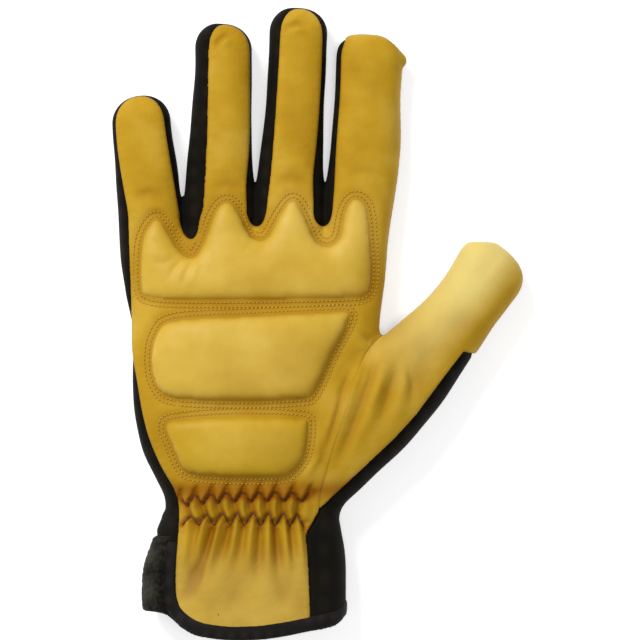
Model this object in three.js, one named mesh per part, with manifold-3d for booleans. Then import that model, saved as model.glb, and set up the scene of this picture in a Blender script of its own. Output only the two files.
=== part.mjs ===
import * as THREE from "three";
import { mergeVertices } from "three/addons/utils/BufferGeometryUtils.js";
import Module from "manifold-3d";

// A work glove for the right hand, of goat hide and black stretch fabric, with three gel pads.
// It lies on its back with the palm up, as a filled shape that keeps the room for a hand open.
// X runs towards the thumb, Y towards the fingertips and Z up. Sizes are in millimetres.

const wasm = await Module();
wasm.setup();

// Driving sizes of the hand. The wrist line is at Y = 0 before the last shift.
const palm_length = 113;
const palm_width = 98;
const palm_depth = 29;
const wrist_width = 69;
const wrist_depth = 25;
const cuff_length = 49;
const cuff_depth = 29;

// Driving sizes of the fingers and the thumb.
const finger_depth = 20;
const finger_tip_round = 11;
const pinky_length = 66.8;
const pinky_width = 25.8;
const ring_length = 93.5;
const ring_width = 25;
const middle_length = 98.6;
const middle_width = 25.2;
const index_length = 88.5;
const index_width = 27.1;
const thumb_length = 102.5;
const thumb_width = 28;
const thumb_depth = 25;
const thumb_tip_round = 13;

// Driving sizes of what the hand wears.
const wall = 1.8;
const seam_clearance = 0.3;
const pad_rise = 4.2;
const binding_width = 5.5;
const binding_rise = 1;
const tab_length = 29;
const tab_thickness = 2.2;
const gather_depth = 1.3;
const gather_count = 8;
const gather_reach_up = 7;
const gather_reach_down = 26;
const hem_rise = 6;
const hem_steepness = 3;

// The height of the seam between the back and what lies over it, as a share of a finger's depth.
const seam_height = 0.36 * finger_depth;

// How square the cross-sections are: 2 is an ellipse, and more is squarer.
const squareness = 2.5;
const tip_squareness = 2.15;

// The share of the top height that the surface under the glove presses flat.
const pressed = 0.12;

// Where the slit's binding starts below the wrist, as a share of the cuff's length, and how far
// above it the tab starts and above the surface the tab stays.
const slit_start = 0.25;
const tab_rise = 3;
const tab_lowest = 2;

// Half the least thickness that a rounded end runs out to, how far past an outline a cut goes, and
// how far apart two points may be that count as one.
const thinnest = 0.6;
const outside = 6;
const same_point = 1e-4;

// Sections of the cuff. Places down from the wrist line are shares of the cuff's length and edges
// are shares of the wrist's width. Hide edges are where the leather ends.
const cuff_rows = [
  { at: 1.02, left: -0.53, right: 0.53, hide_left: -0.4, hide_right: 0.34, open: 1 },
  { at: 0.8, left: -0.565, right: 0.545, hide_left: -0.42, hide_right: 0.34, open: 0.97 },
  { at: 0.53, left: -0.565, right: 0.545, hide_left: -0.43, hide_right: 0.335, open: 0.8 },
  { at: 0.28, left: -0.55, right: 0.54, hide_left: -0.425, hide_right: 0.325, open: 0.45 },
  { at: 0.12, left: -0.525, right: 0.52, hide_left: -0.415, hide_right: 0.32, open: 0.12 },
];

// Where the hide ends on the thumb's side of the wrist, as a share of the wrist's width.
const hide_right_at_wrist = 0.385;

// Sections of the palm, as shares of the palm's length, width and depth. Where wrist is more than
// 0 the width and depth blend to the wrist's own.
const palm_rows = [
  { at: 0, left: -0.497, right: 0.504, hide_left: -0.41, firm: 0.9, wrist: 1 },
  { at: 0.06, left: -0.45, right: 0.455, hide_left: -0.375, firm: 0.93, wrist: 0.75 },
  { at: 0.123, left: -0.425, right: 0.43, hide_left: -0.37, firm: 0.96, wrist: 0.35 },
  { at: 0.228, left: -0.446, right: 0.44, hide_left: -0.4, firm: 0.98, wrist: 0.07 },
  { at: 0.333, left: -0.465, right: 0.462, hide_left: -0.43, firm: 1, wrist: 0 },
  { at: 0.438, left: -0.477, right: 0.487, hide_left: -0.452, firm: 1, wrist: 0 },
  { at: 0.579, left: -0.483, right: 0.507, hide_left: -0.48, firm: 0.98, wrist: 0 },
  { at: 0.69, left: -0.484, right: 0.513, hide_left: -0.482, firm: 0.93, wrist: 0 },
  { at: 0.79, left: -0.5, right: 0.526, hide_left: -0.485, firm: 0.85, wrist: 0 },
  { at: 0.894, left: -0.513, right: 0.522, hide_left: -0.49, firm: 0.74, wrist: 0 },
  { at: 1, left: -0.49, right: 0.5, hide_left: -0.494, firm: 0.6, wrist: 0 },
];

// The fingers: places of their roots as shares of the palm's width and length, lean in degrees
// towards the thumb, and edges along each as shares of its width. The hide wraps one side and the
// tip of the finger that says so.
const fingers = [
  {
    name: "pinky", across: -0.4, up: 0.887, length: pinky_length, width: pinky_width, lean: -4.4,
    rows: [
      { at: -0.3, left: -0.37, right: 0.55, hide_left: -0.385, hide_right: 0.55 },
      { at: 0, left: -0.46, right: 0.585, hide_left: -0.385, hide_right: 0.55 },
      { at: 0.25, left: -0.473, right: 0.527, hide_left: -0.304, hide_right: 0.488 },
      { at: 0.5, left: -0.462, right: 0.508, hide_left: -0.362, hide_right: 0.431 },
      { at: 0.75, left: -0.465, right: 0.458, hide_left: -0.4, hide_right: 0.373 },
      { at: 1, left: -0.43, right: 0.431, hide_left: -0.37, hide_right: 0.35 },
    ],
  },
  {
    name: "ring", across: -0.135, up: 0.901, length: ring_length, width: ring_width, lean: 1.8,
    rows: [
      { at: -0.3, left: -0.484, right: 0.595, hide_left: -0.294, hide_right: 0.58 },
      { at: 0, left: -0.484, right: 0.595, hide_left: -0.294, hide_right: 0.58 },
      { at: 0.25, left: -0.562, right: 0.549, hide_left: -0.244, hide_right: 0.43 },
      { at: 0.5, left: -0.512, right: 0.488, hide_left: -0.226, hide_right: 0.456 },
      { at: 0.75, left: -0.462, right: 0.459, hide_left: -0.24, hide_right: 0.43 },
      { at: 1, left: -0.476, right: 0.429, hide_left: -0.25, hide_right: 0.39 },
    ],
  },
  {
    name: "middle", across: 0.152, up: 0.912, length: middle_length, width: middle_width, lean: 2.8,
    rows: [
      { at: -0.3, left: -0.496, right: 0.575, hide_left: -0.47, hide_right: 0.52 },
      { at: 0, left: -0.496, right: 0.575, hide_left: -0.47, hide_right: 0.52 },
      { at: 0.25, left: -0.559, right: 0.504, hide_left: -0.362, hide_right: 0.339 },
      { at: 0.5, left: -0.496, right: 0.449, hide_left: -0.323, hide_right: 0.37 },
      { at: 0.75, left: -0.465, right: 0.449, hide_left: -0.307, hide_right: 0.38 },
      { at: 1, left: -0.48, right: 0.433, hide_left: -0.3, hide_right: 0.354 },
    ],
  },
  {
    name: "index", across: 0.422, up: 0.901, length: index_length, width: index_width, lean: 3.6,
    wraps: true,
    rows: [
      { at: -0.3, left: -0.445, right: 0.31, hide_left: -0.416, hide_right: 0.65 },
      { at: 0, left: -0.445, right: 0.425, hide_left: -0.416, hide_right: 0.65 },
      { at: 0.25, left: -0.496, right: 0.482, hide_left: -0.38, hide_right: 0.65 },
      { at: 0.5, left: -0.46, right: 0.547, hide_left: -0.387, hide_right: 0.65 },
      { at: 0.75, left: -0.453, right: 0.496, hide_left: -0.38, hide_right: 0.65 },
      { at: 1, left: -0.474, right: 0.474, hide_left: -0.416, hide_right: 0.65 },
    ],
  },
];

// Heights along every finger, as shares of the finger's depth: its top, and how far the round
// underside would reach below the surface or stays above it.
const finger_heights = [
  { at: -0.3, top: 0.8, under: 0.35 },
  { at: 0.02, top: 1, under: -0.04 },
  { at: 0.22, top: 0.97, under: -0.12 },
  { at: 0.5, top: 0.93, under: -0.12 },
  { at: 0.75, top: 0.9, under: -0.12 },
  { at: 1, top: 0.84, under: -0.06 },
];

// The thumb, whose root is a share of the palm's width and length and whose rows are shares of
// its length, width and depth. The hide wraps all of it but a strip down its outer side.
const thumb = { across: 0.323, up: 0.242, lean: 39.4 };
const thumb_rows = [
  { at: -0.24, left: -0.5, right: 0.6, hide_right: 0.42, top: 0.88, under: 0.3 },
  { at: 0, left: -0.72, right: 0.735, hide_right: 0.533, top: 1.05, under: -0.02 },
  { at: 0.25, left: -0.6, right: 0.835, hide_right: 0.64, top: 1.08, under: -0.12 },
  { at: 0.5, left: -0.36, right: 0.788, hide_right: 0.606, top: 0.98, under: -0.12 },
  { at: 0.75, left: -0.25, right: 0.71, hide_right: 0.59, top: 0.88, under: -0.12 },
  { at: 1, left: -0.36, right: 0.65, hide_right: 0.58, top: 0.82, under: -0.1 },
];

// Where the leather's edge turns between two fingers, as shares of the palm's width and length.
const crotches = [
  { across: -0.238, up: 0.964 },
  { across: 0.024, up: 1.01 },
  { across: 0.291, up: 1.012 },
];

// The seam round the ball of the thumb, from the thumb's crotch to the wrist, in the same shares.
const thumb_seam = [
  { across: 0.56, up: 0.655 },
  { across: 0.52, up: 0.632 },
  { across: 0.44, up: 0.53 },
  { across: 0.378, up: 0.4 },
  { across: 0.34, up: 0.263 },
  { across: 0.3, up: 0.13 },
  { across: 0.266, up: 0.03 },
];

// Outlines of the pads in the same shares. Each is smooth through its points and swells from its
// edge to a spine, whose two ends are given first.
const knuckle_spine = { from: -0.36, to: 0.42, up: 0.815 };
const knuckle_outline = [
  { across: -0.408, up: 0.764 },
  { across: -0.439, up: 0.789 },
  { across: -0.443, up: 0.887 },
  { across: -0.429, up: 0.978 },
  { across: -0.38, up: 1.038 },
  { across: -0.336, up: 0.996 },
  { across: -0.287, up: 0.929 },
  { across: -0.234, up: 0.901 },
  { across: -0.194, up: 0.947 },
  { across: -0.141, up: 1.062 },
  { across: -0.093, up: 1.097 },
  { across: -0.049, up: 1.059 },
  { across: -0.008, up: 0.982 },
  { across: 0.028, up: 0.964 },
  { across: 0.069, up: 0.975 },
  { across: 0.121, up: 1.055 },
  { across: 0.17, up: 1.103 },
  { across: 0.214, up: 1.055 },
  { across: 0.259, up: 0.964 },
  { across: 0.311, up: 0.943 },
  { across: 0.356, up: 0.971 },
  { across: 0.38, up: 1.066 },
  { across: 0.42, up: 1.108 },
  { across: 0.465, up: 1.076 },
  { across: 0.479, up: 0.964 },
  { across: 0.481, up: 0.817 },
  { across: 0.453, up: 0.771 },
  { across: 0.36, up: 0.761 },
  { across: 0.016, up: 0.754 },
  { across: -0.307, up: 0.754 },
];
const palm_spine = { from: -0.31, to: 0.26, up: 0.548 };
const palm_outline = [
  { across: -0.3, up: 0.413 },
  { across: -0.375, up: 0.455 },
  { across: -0.398, up: 0.54 },
  { across: -0.375, up: 0.635 },
  { across: -0.3, up: 0.683 },
  { across: 0, up: 0.698 },
  { across: 0.3, up: 0.71 },
  { across: 0.385, up: 0.712 },
  { across: 0.39, up: 0.68 },
  { across: 0.32, up: 0.56 },
  { across: 0.25, up: 0.43 },
  { across: 0.2, up: 0.413 },
  { across: 0, up: 0.405 },
];
const heel_spine = { from: -0.24, to: 0.17, up: 0.24 };
const heel_outline = [
  { across: -0.24, up: 0.152 },
  { across: -0.28, up: 0.18 },
  { across: -0.32, up: 0.26 },
  { across: -0.34, up: 0.31 },
  { across: -0.3, up: 0.335 },
  { across: -0.06, up: 0.35 },
  { across: 0.2, up: 0.343 },
  { across: 0.23, up: 0.32 },
  { across: 0.215, up: 0.22 },
  { across: 0.16, up: 0.155 },
  { across: 0.1, up: 0.141 },
  { across: -0.1, up: 0.141 },
];

// The pads from the edge inwards: how much of the way from the spine is kept, and how much of the
// rise is reached. The first ring is inside the palm, where its height is a share of the depth.
const pad_root = 0.4;
const pad_profile = [
  { keep: 1 },
  { keep: 1, swell: 0.3 },
  { keep: 0.955, swell: 0.72 },
  { keep: 0.86, swell: 0.94 },
  { keep: 0.55, swell: 1.08 },
];
const pad_steps = 2;

// Points round a finger's section, and over and under a section of the hand, for the outer side
// and for the room inside the wall.
const outer_points = { finger: 16, over: 31, under: 6 };
const room_points = { finger: 10, over: 14, under: 4 };

// Places of the rings, as shares of the cuff, of the palm, of a finger or thumb up to its rounded
// end, and of the rounded end.
const cuff_stations = [-1, -0.8, -0.6, -0.42, -0.28, -0.17, -0.08];
const palm_stations = [0, 0.03, 0.07, 0.13, 0.22, 0.34, 0.5, 0.66, 0.8, 0.9, 1];
const finger_stations = [-0.3, -0.08, 0.12, 0.35, 0.65, 1];
const thumb_stations = [-0.24, -0.08, 0.12, 0.3, 0.5, 0.7, 1];
const tip_stations = [0.4, 0.7, 0.89, 0.98];

// Places of the points that a finger's strip of hide and the edge of the thumb's have.
const strip_stations = [0.16, 0.3, 0.6, 1];
const strip_tip_stations = [0.4, 0.7, 0.94];
const thumb_strip_stations = [-0.2, -0.05, 0.12, 0.3, 0.45, 0.58];
const hem_steps = 10;

// Shares of the cuff's length down from the wrist where the hide's outline, the slit's binding and
// the room inside end, how far up the palm's length the hide's left edge is the palm's own, and
// how far down from the wrist line in millimetres its right edge starts.
const hide_end = 1.3;
const slit_end = 0.9;
const room_end = 1.15;
const palm_edge_end = 0.9;
const hide_right_start = 0.5;

// How much of the mouth's width the hem's curve covers, where the thumb's hide is wrapped from as
// a share of its length, and how evenly the points over a section are spread, from 0 to 1.
const hem_cover = 1.2;
const thumb_wrap_start = 0.75;
const even_spread = 0.6;

// The value of a column at a place between the rows, on a smooth curve through them.
function between(rows, at, column) {
  const last = rows.length - 1;
  let i = 0;
  while (i < last - 1 && rows[i + 1].at < at) {
    i += 1;
  }
  const span = rows[i + 1].at - rows[i].at;
  const t = THREE.MathUtils.clamp((at - rows[i].at) / span, 0, 1);
  const before = rows[Math.max(i - 1, 0)];
  const after = rows[Math.min(i + 2, last)];
  const start = (rows[i + 1][column] - before[column]) / (rows[i + 1].at - before.at) * span;
  const end = (after[column] - rows[i][column]) / (after.at - rows[i].at) * span;
  const a = rows[i][column];
  const b = rows[i + 1][column];
  return a + t * (start + t * (3 * (b - a) - 2 * start - end + t * (2 * (a - b) + start + end)));
}

// The hand's rows in millimetres, from the hem to the crotches of the fingers.
function handRows() {
  const blend = (wrist) => wrist * wrist_width + (1 - wrist) * palm_width;
  const cuff = cuff_rows.map((row) => ({
    at: -row.at * cuff_length,
    left: row.left * wrist_width,
    right: row.right * wrist_width,
    hide_left: row.hide_left * wrist_width,
    hide_right: row.hide_right * wrist_width,
    top: wrist_depth + row.open * (cuff_depth - wrist_depth),
  }));
  const palm = palm_rows.map((row) => ({
    at: row.at * palm_length,
    left: row.left * blend(row.wrist),
    right: row.right * blend(row.wrist),
    hide_left: row.hide_left * blend(row.wrist),
    hide_right: hide_right_at_wrist * wrist_width,
    top: row.wrist * wrist_depth + (1 - row.wrist) * row.firm * palm_depth,
  }));
  return [...cuff, ...palm].map((row) => ({ ...row, under: -pressed * row.top }));
}

// A limb's edges in millimetres along its axis.
function edgeRows(rows, length, width) {
  return rows.map((row) => ({
    at: row.at * length,
    left: row.left * width,
    right: row.right * width,
    hide_left: (row.hide_left ?? row.left) * width,
    hide_right: row.hide_right * width,
  }));
}

// A limb's heights in millimetres along its axis.
function heightRows(rows, length, depth) {
  return rows.map((row) => ({ at: row.at * length, top: row.top * depth, under: row.under * depth }));
}

// Every limb of the glove: where its axis starts, which way it leans, its edges and its heights.
const hand_rows = handRows();
const hand = { root: [0, 0], lean: 0, edges: hand_rows, heights: hand_rows, round: 0, length: palm_length };
const finger_limbs = fingers.map((finger) => ({
  name: finger.name,
  root: [finger.across * palm_width, finger.up * palm_length],
  lean: THREE.MathUtils.degToRad(finger.lean),
  edges: edgeRows(finger.rows, finger.length, finger.width),
  heights: heightRows(finger_heights, finger.length, finger_depth),
  round: finger_tip_round,
  length: finger.length,
  wraps: finger.wraps,
}));
const thumb_limb = {
  root: [thumb.across * palm_width, thumb.up * palm_length],
  lean: THREE.MathUtils.degToRad(thumb.lean),
  edges: edgeRows(thumb_rows, thumb_length, thumb_width),
  heights: heightRows(thumb_rows, thumb_length, thumb_depth),
  round: thumb_tip_round,
  length: thumb_length,
};
const limbs = [hand, ...finger_limbs, thumb_limb];

// How much of its width and depth a limb keeps near its rounded end.
function taper(limb, at) {
  const into = (at - limb.length + limb.round) / Math.max(limb.round, 1);
  if (limb.round === 0 || into <= 0) {
    return 1;
  }
  return (1 - Math.min(into, 1) ** tip_squareness) ** (1 / tip_squareness);
}

// The section at a place along a limb: its edges, those of the hide, its top and its underside.
function section(limb, at) {
  const keep = taper(limb, at);
  const edge = (column) => between(limb.edges, at, column);
  const height = (column) => between(limb.heights, at, column);
  const middle = (edge("left") + edge("right")) / 2;
  const level = (height("top") + height("under")) / 2;
  return {
    middle,
    level,
    half: keep * (edge("right") - edge("left")) / 2,
    rise: keep * (height("top") - height("under")) / 2,
    hide_left: middle + keep * (edge("hide_left") - middle),
    hide_right: middle + keep * (edge("hide_right") - middle),
  };
}

// The plan's point at a distance along a limb's axis and across it.
function plan(limb, along, across) {
  const [x, y] = limb.root;
  return [
    x + along * Math.sin(limb.lean) + across * Math.cos(limb.lean),
    y + along * Math.cos(limb.lean) - across * Math.sin(limb.lean),
  ];
}

// The gathers of the wrist: ridges along the glove that die out up the palm and down the cuff.
// Inside, the wall runs level with the bottoms between them.
const wrist_section = section(hand, 0);
function gather(x, y, inside) {
  const share = (x - wrist_section.hide_left) / (wrist_section.hide_right - wrist_section.hide_left);
  if (share < 0 || share > 1) {
    return 0;
  }
  const reach = y > 0 ? gather_reach_up : gather_reach_down;
  const ridge = inside ? 1 : Math.sin(Math.PI * gather_count * share) ** 2;
  return -gather_depth * Math.exp(-((y / reach) ** 2)) * ridge;
}

// How far the hem is lifted at the sides of the cuff, where it is shorter than in its middle.
function hemLift(along, across) {
  const mouth = hand_rows[0];
  const side = (2 * across - mouth.left - mouth.right) / (mouth.right - mouth.left);
  const share = THREE.MathUtils.clamp(-along / cuff_length, 0, hem_cover);
  return hem_rise * (share * Math.min(Math.abs(side), 1)) ** hem_steepness;
}

// Turns a circle's coordinate into that of a squarer section.
function squared(value) {
  return Math.sign(value) * Math.abs(value) ** (2 / squareness);
}

// Where a section's points lie, from its right side over the top and back underneath.
function pointsRound(limb, points) {
  if (limb !== hand) {
    const sides = [...Array(points.finger).keys()].map((i) => 2 * Math.PI * i / points.finger);
    return sides.map((turn) => [squared(Math.cos(turn)), squared(Math.sin(turn))]);
  }
  const over = [...Array(points.over + 1).keys()].map((i) => {
    const even = 1 - 2 * i / points.over;
    const across = even_spread * even + (1 - even_spread) * Math.sin(Math.PI * even / 2);
    return [across, (1 - Math.abs(across) ** squareness) ** (1 / squareness)];
  });
  const under = [...Array(points.under).keys()].map((i) => {
    const turn = Math.PI * (1 + (i + 1) / (points.under + 1));
    return [squared(Math.cos(turn)), squared(Math.sin(turn))];
  });
  return [...over, ...under];
}

// One ring of points round a limb. Growth makes it bigger all round, or smaller if negative.
function ringOf(limb, at, growth) {
  const { middle, level, half, rise } = section(limb, at);
  const inside = growth < 0;
  const floor = Math.max(-growth, 0);
  return pointsRound(limb, inside ? room_points : outer_points).map(([u, v]) => {
    const across = middle + u * Math.max(half + growth, thinnest);
    const lift = limb === hand ? hemLift(at, across) : 0;
    const [x, y] = plan(limb, at + lift, across);
    const ridge = limb === hand && v > 0 ? v * gather(x, y, inside) : 0;
    const z = level + v * Math.max(rise + growth, thinnest) + ridge;
    return new THREE.Vector3(x, y, Math.max(z, floor));
  });
}

// Places along a limb where its rings lie, closer together towards a rounded end. The inside of
// the hand runs on out of the cuff's mouth.
function stations(limb, growth) {
  if (limb === hand) {
    const down = growth < 0 ? [-room_end, ...cuff_stations] : cuff_stations;
    return [...down.map((s) => s * cuff_length), ...palm_stations.map((s) => s * palm_length)];
  }
  const bare = limb.length - limb.round;
  const shaft = limb === thumb_limb ? thumb_stations : finger_stations;
  const end = bare + Math.min(growth, 0);
  return [...shaft.map((s) => s * bare), ...tip_stations.map((s) => end + s * limb.round)];
}

function geometryOf(points, faces) {
  const geometry = new THREE.BufferGeometry();
  const numbers = points.flatMap((p) => [p.x, p.y, p.z]);
  geometry.setAttribute("position", new THREE.Float32BufferAttribute(numbers, 3));
  geometry.setIndex(faces);
  return geometry;
}

// A closed mesh as a solid that can be joined and cut.
function solidOf(geometry) {
  const bare = geometry.clone();
  bare.deleteAttribute("normal");
  bare.deleteAttribute("uv");
  const merged = mergeVertices(bare, same_point);
  return new wasm.Manifold(new wasm.Mesh({
    numProp: 3,
    vertProperties: new Float32Array(merged.attributes.position.array),
    triVerts: new Uint32Array(merged.index.array),
  }));
}

// A closed solid through rings of points, with a fan of faces over each end.
function loft(rings) {
  const count = rings[0].length;
  const ends = [rings[0], rings[rings.length - 1]];
  const hubs = ends.map((ring) => {
    const sum = ring.reduce((total, p) => total.add(p), new THREE.Vector3());
    return sum.divideScalar(count);
  });
  const last = (rings.length - 1) * count;
  const first_hub = rings.length * count;
  const faces = [];
  for (let j = 0; j < count; j += 1) {
    const next = (j + 1) % count;
    for (let base = 0; base < last; base += count) {
      const [a, b] = [base + j, base + next];
      faces.push(a, a + count, b, b, a + count, b + count);
    }
    faces.push(first_hub, j, next);
    faces.push(first_hub + 1, last + next, last + j);
  }
  return solidOf(geometryOf([...rings.flat(), ...hubs], faces));
}

// All limbs joined in one solid, bigger or smaller all round by the growth.
function hull(growth) {
  const lofts = limbs.map((limb) => loft(stations(limb, growth).map((at) => ringOf(limb, at, growth))));
  return wasm.Manifold.union(lofts);
}

// A prism over an outline in the plan, between two heights.
function prism(points, low, high) {
  const shape = new THREE.Shape(points.map(([x, y]) => new THREE.Vector2(x, y)));
  const geometry = new THREE.ExtrudeGeometry(shape, { depth: high - low, bevelEnabled: false });
  geometry.translate(0, 0, low);
  return solidOf(geometry);
}

// A solid block between two corners.
function block(low, high) {
  const size = high.map((value, i) => value - low[i]);
  const geometry = new THREE.BoxGeometry(...size);
  geometry.translate(...low.map((value, i) => value + size[i] / 2));
  return solidOf(geometry);
}

// A point of the plan from its shares of the palm's width and length.
function onPalm({ across, up }) {
  return [across * palm_width, up * palm_length];
}

// The ends of the hide's strip along a finger: points up its left or its right edge.
function stripEdge(limb, side, inset) {
  const bare = limb.length - limb.round;
  const tip = strip_tip_stations.map((s) => bare + s * limb.round);
  const along = [...strip_stations.map((s) => s * bare), ...tip];
  const sign = side === "hide_left" ? 1 : -1;
  return along.map((at) => plan(limb, at, section(limb, at)[side] + sign * inset));
}

// Points down a side of the cuff and the palm, from the hem's line at a height above it.
function handEdge(side, from, to, inset) {
  const places = hand_rows.map((row) => row.at).filter((at) => at > from && at < to);
  return [from, ...places, to].map((at) => [section(hand, at)[side] + inset, at]);
}

// The outline in the plan of the hide, all in one piece from the cuff to the fingertips.
function hideOutline(inset) {
  const low = -hide_end * cuff_length;
  const points = handEdge("hide_left", low, palm_edge_end * palm_length, inset);
  finger_limbs.forEach((limb, i) => {
    points.push(...stripEdge(limb, "hide_left", inset));
    if (limb.wraps) {
      points.push(plan(limb, limb.length + outside, section(limb, limb.length).middle));
      points.push(plan(limb, limb.length + outside, limb.round + outside));
    }
    const right = stripEdge(limb, "hide_right", inset).reverse();
    points.push(...(limb.wraps ? right.slice(strip_tip_stations.length) : right));
    if (i < crotches.length) {
      const [x, y] = onPalm(crotches[i]);
      points.push([x, y - inset]);
    }
  });
  points.push(...thumb_seam.map(onPalm).map(([x, y]) => [x - inset, y]));
  points.push(...handEdge("hide_right", low, -hide_right_start, -inset).reverse());
  return points;
}

// The outline in the plan of the thumb's hide, right of the seam round the ball of the thumb.
function thumbOutline(inset) {
  const seam = thumb_seam.map(onPalm).map(([x, y]) => [x + inset, y]);
  const strip = thumb_strip_stations.map((s) => {
    const at = s * thumb_length;
    return plan(thumb_limb, at, section(thumb_limb, at).hide_right - inset);
  });
  const far = thumb_length + outside;
  const aside = thumb_width + outside;
  const round = [
    plan(thumb_limb, thumb_strip_stations[thumb_strip_stations.length - 1] * thumb_length, aside),
    plan(thumb_limb, far, aside),
    plan(thumb_limb, far, -aside),
    plan(thumb_limb, thumb_wrap_start * thumb_length, -aside),
  ];
  return [...strip, ...round, ...seam];
}

// The outline in the plan of a side wall between two fingers, from the hide's edge on one to the
// hide's edge on the next, and over their tips to the middle of each.
function fourchetteOutline(i, inset) {
  const one = finger_limbs[i];
  const next = finger_limbs[i + 1];
  const tip = (limb, shift) => {
    const middle = section(limb, limb.length).middle + shift;
    const end = limb.length - (1 - strip_tip_stations[strip_tip_stations.length - 1]) * limb.round + inset;
    return [plan(limb, end, middle), plan(limb, limb.length + outside, middle)];
  };
  const [x, y] = onPalm(crotches[i]);
  const up = stripEdge(one, "hide_right", -inset);
  const down = stripEdge(next, "hide_left", -inset).reverse();
  return [[x, y + inset], ...up, ...tip(one, inset), ...tip(next, -inset).reverse(), ...down];
}

// The largest body of a cut, without the crumbs that a cut can leave.
function whole(solid) {
  return solid.decompose().sort((a, b) => b.volume() - a.volume())[0];
}

// The height of the glove's upper side over a point of the plan.
function skinTop(x, y) {
  const heights = limbs.map((limb) => {
    const [dx, dy] = [x - limb.root[0], y - limb.root[1]];
    const along = dx * Math.sin(limb.lean) + dy * Math.cos(limb.lean);
    const across = dx * Math.cos(limb.lean) - dy * Math.sin(limb.lean);
    const first = limb.edges[0].at;
    if (along < first || along > limb.length) {
      return 0;
    }
    const { middle, level, half, rise } = section(limb, along);
    const share = Math.abs(across - middle) / half;
    return share < 1 ? level + rise * (1 - share ** squareness) ** (1 / squareness) : 0;
  });
  return Math.max(...heights);
}

// Faces over a ring of points whose numbers start at a base, facing up or down.
function cap(ring, base, up) {
  const flat = ring.map((p) => new THREE.Vector2(p.x, p.y));
  return THREE.ShapeUtils.triangulateShape(flat, []).flatMap(([a, b, c]) => {
    const counterclockwise = flat[b].clone().sub(flat[a]).cross(flat[c].clone().sub(flat[a])) > 0;
    return counterclockwise === up ? [base + a, base + b, base + c] : [base + a, base + c, base + b];
  });
}

// A gel pad under its leather cover: it stands on the palm, rises steeply at its edge and swells
// a little towards its spine.
function pad(outline, spine, skin) {
  const corners = [...outline, outline[0]].map((row) => new THREE.Vector2(...onPalm(row)));
  const curve = new THREE.SplineCurve(corners);
  const edge = curve.getPoints(outline.length * pad_steps).slice(0, -1);
  const [from, to, level] = [spine.from * palm_width, spine.to * palm_width, spine.up * palm_length];
  const ringAt = ({ keep, swell }) => edge.map((p) => {
    const heart = new THREE.Vector2(THREE.MathUtils.clamp(p.x, from, to), level);
    const at = heart.clone().lerp(p, keep);
    const z = swell === undefined ? pad_root * palm_depth : skinTop(at.x, at.y) + swell * pad_rise;
    return new THREE.Vector3(at.x, at.y, z);
  });
  const rings = pad_profile.map(ringAt);
  const count = edge.length;
  const faces = [];
  for (let i = 0; i + 1 < rings.length; i += 1) {
    for (let j = 0; j < count; j += 1) {
      const [a, b] = [i * count + j, i * count + (j + 1) % count];
      faces.push(a, a + count, b, b, a + count, b + count);
    }
  }
  faces.push(...cap(rings[0], 0, false), ...cap(rings[rings.length - 1], (rings.length - 1) * count, true));
  return whole(solidOf(geometryOf(rings.flat(), faces)).subtract(skin));
}

// Half sizes of a block that is sure to reach past the glove on every side.
const past = 2;
const high = past * Math.max(palm_depth, cuff_depth, thumb_depth, finger_depth);
const wide = past * (palm_width + thumb_length);
const tall = past * (palm_length + middle_length + cuff_length);

// The glove's wall, the room inside it, and the same with room for what lies on it.
const room = hull(-wall);
const shell = hull(0).subtract(room);
const clear_skin = hull(seam_clearance);
const half_clear = seam_clearance / 2;

const past_wrist = block([-wide, half_clear, -high], [wide, tall, high]);
const before_wrist = block([-wide, -tall, -high], [wide, -half_clear, high]);

// The band along the hem, and the strip up the slit at the little finger's side of the cuff.
function hemBand(width) {
  const mouth = hand_rows[0];
  const across = [...Array(hem_steps + 1).keys()].map((i) => {
    const share = hem_cover * (2 * i / hem_steps - 1);
    return (mouth.left + mouth.right) / 2 + share * (mouth.right - mouth.left) / 2;
  });
  const line = across.map((x) => [x, -cuff_length + width + hemLift(-cuff_length, x)]);
  const [start, end] = [line[0], line[line.length - 1]];
  return [...line, [end[0], -past * cuff_length], [start[0], -past * cuff_length]];
}
function slitStrip(extra) {
  const top = -slit_start * cuff_length + extra;
  const bottom = -slit_end * cuff_length;
  const right = handEdge("hide_left", bottom, top, extra - half_clear);
  const left = handEdge("hide_left", bottom, top, -binding_width - extra);
  return [...right, ...left.reverse()];
}

const hem_band = prism(hemBand(binding_width), -high, high);
const hem_band_and_clearance = prism(hemBand(binding_width + seam_clearance), -high, high);
const slit_strip = prism(slitStrip(0), seam_height + half_clear, high);
const slit_strip_and_clearance = prism(slitStrip(seam_clearance), seam_height - half_clear, high);

// What the back leaves to the hide and the side walls, with half the clearance beyond their seams.
const fourchette_names = ["fourchette_pinky_ring", "fourchette_ring_middle", "fourchette_middle_index"];
const covered_outlines = [
  hideOutline(-half_clear),
  thumbOutline(-half_clear),
  ...fourchette_names.map((name, i) => fourchetteOutline(i, -half_clear)),
];
const covered = wasm.Manifold.union(
  covered_outlines.map((outline) => prism(outline, seam_height - half_clear, high)),
);

function palmLeather() {
  const piece = prism(hideOutline(half_clear), seam_height + half_clear, high);
  return whole(shell.intersect(piece).subtract(hem_band_and_clearance));
}

function thumbLeather() {
  const piece = prism(thumbOutline(half_clear), seam_height + half_clear, high);
  const end = thumb_seam[thumb_seam.length - 1].up * palm_length + seam_clearance;
  return whole(shell.intersect(piece).intersect(block([-wide, end, -high], [wide, tall, high])));
}

function fourchette(i) {
  const piece = prism(fourchetteOutline(i, half_clear), seam_height + half_clear, high);
  return whole(shell.intersect(piece));
}

// The back reaches up round the little finger's side and in a strip below the thumb.
function backPanel() {
  return whole(shell.intersect(past_wrist).subtract(covered));
}

function cuffBack() {
  const trimmed = shell.intersect(before_wrist).subtract(hem_band_and_clearance);
  return whole(trimmed.subtract(covered).subtract(slit_strip_and_clearance));
}

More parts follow.
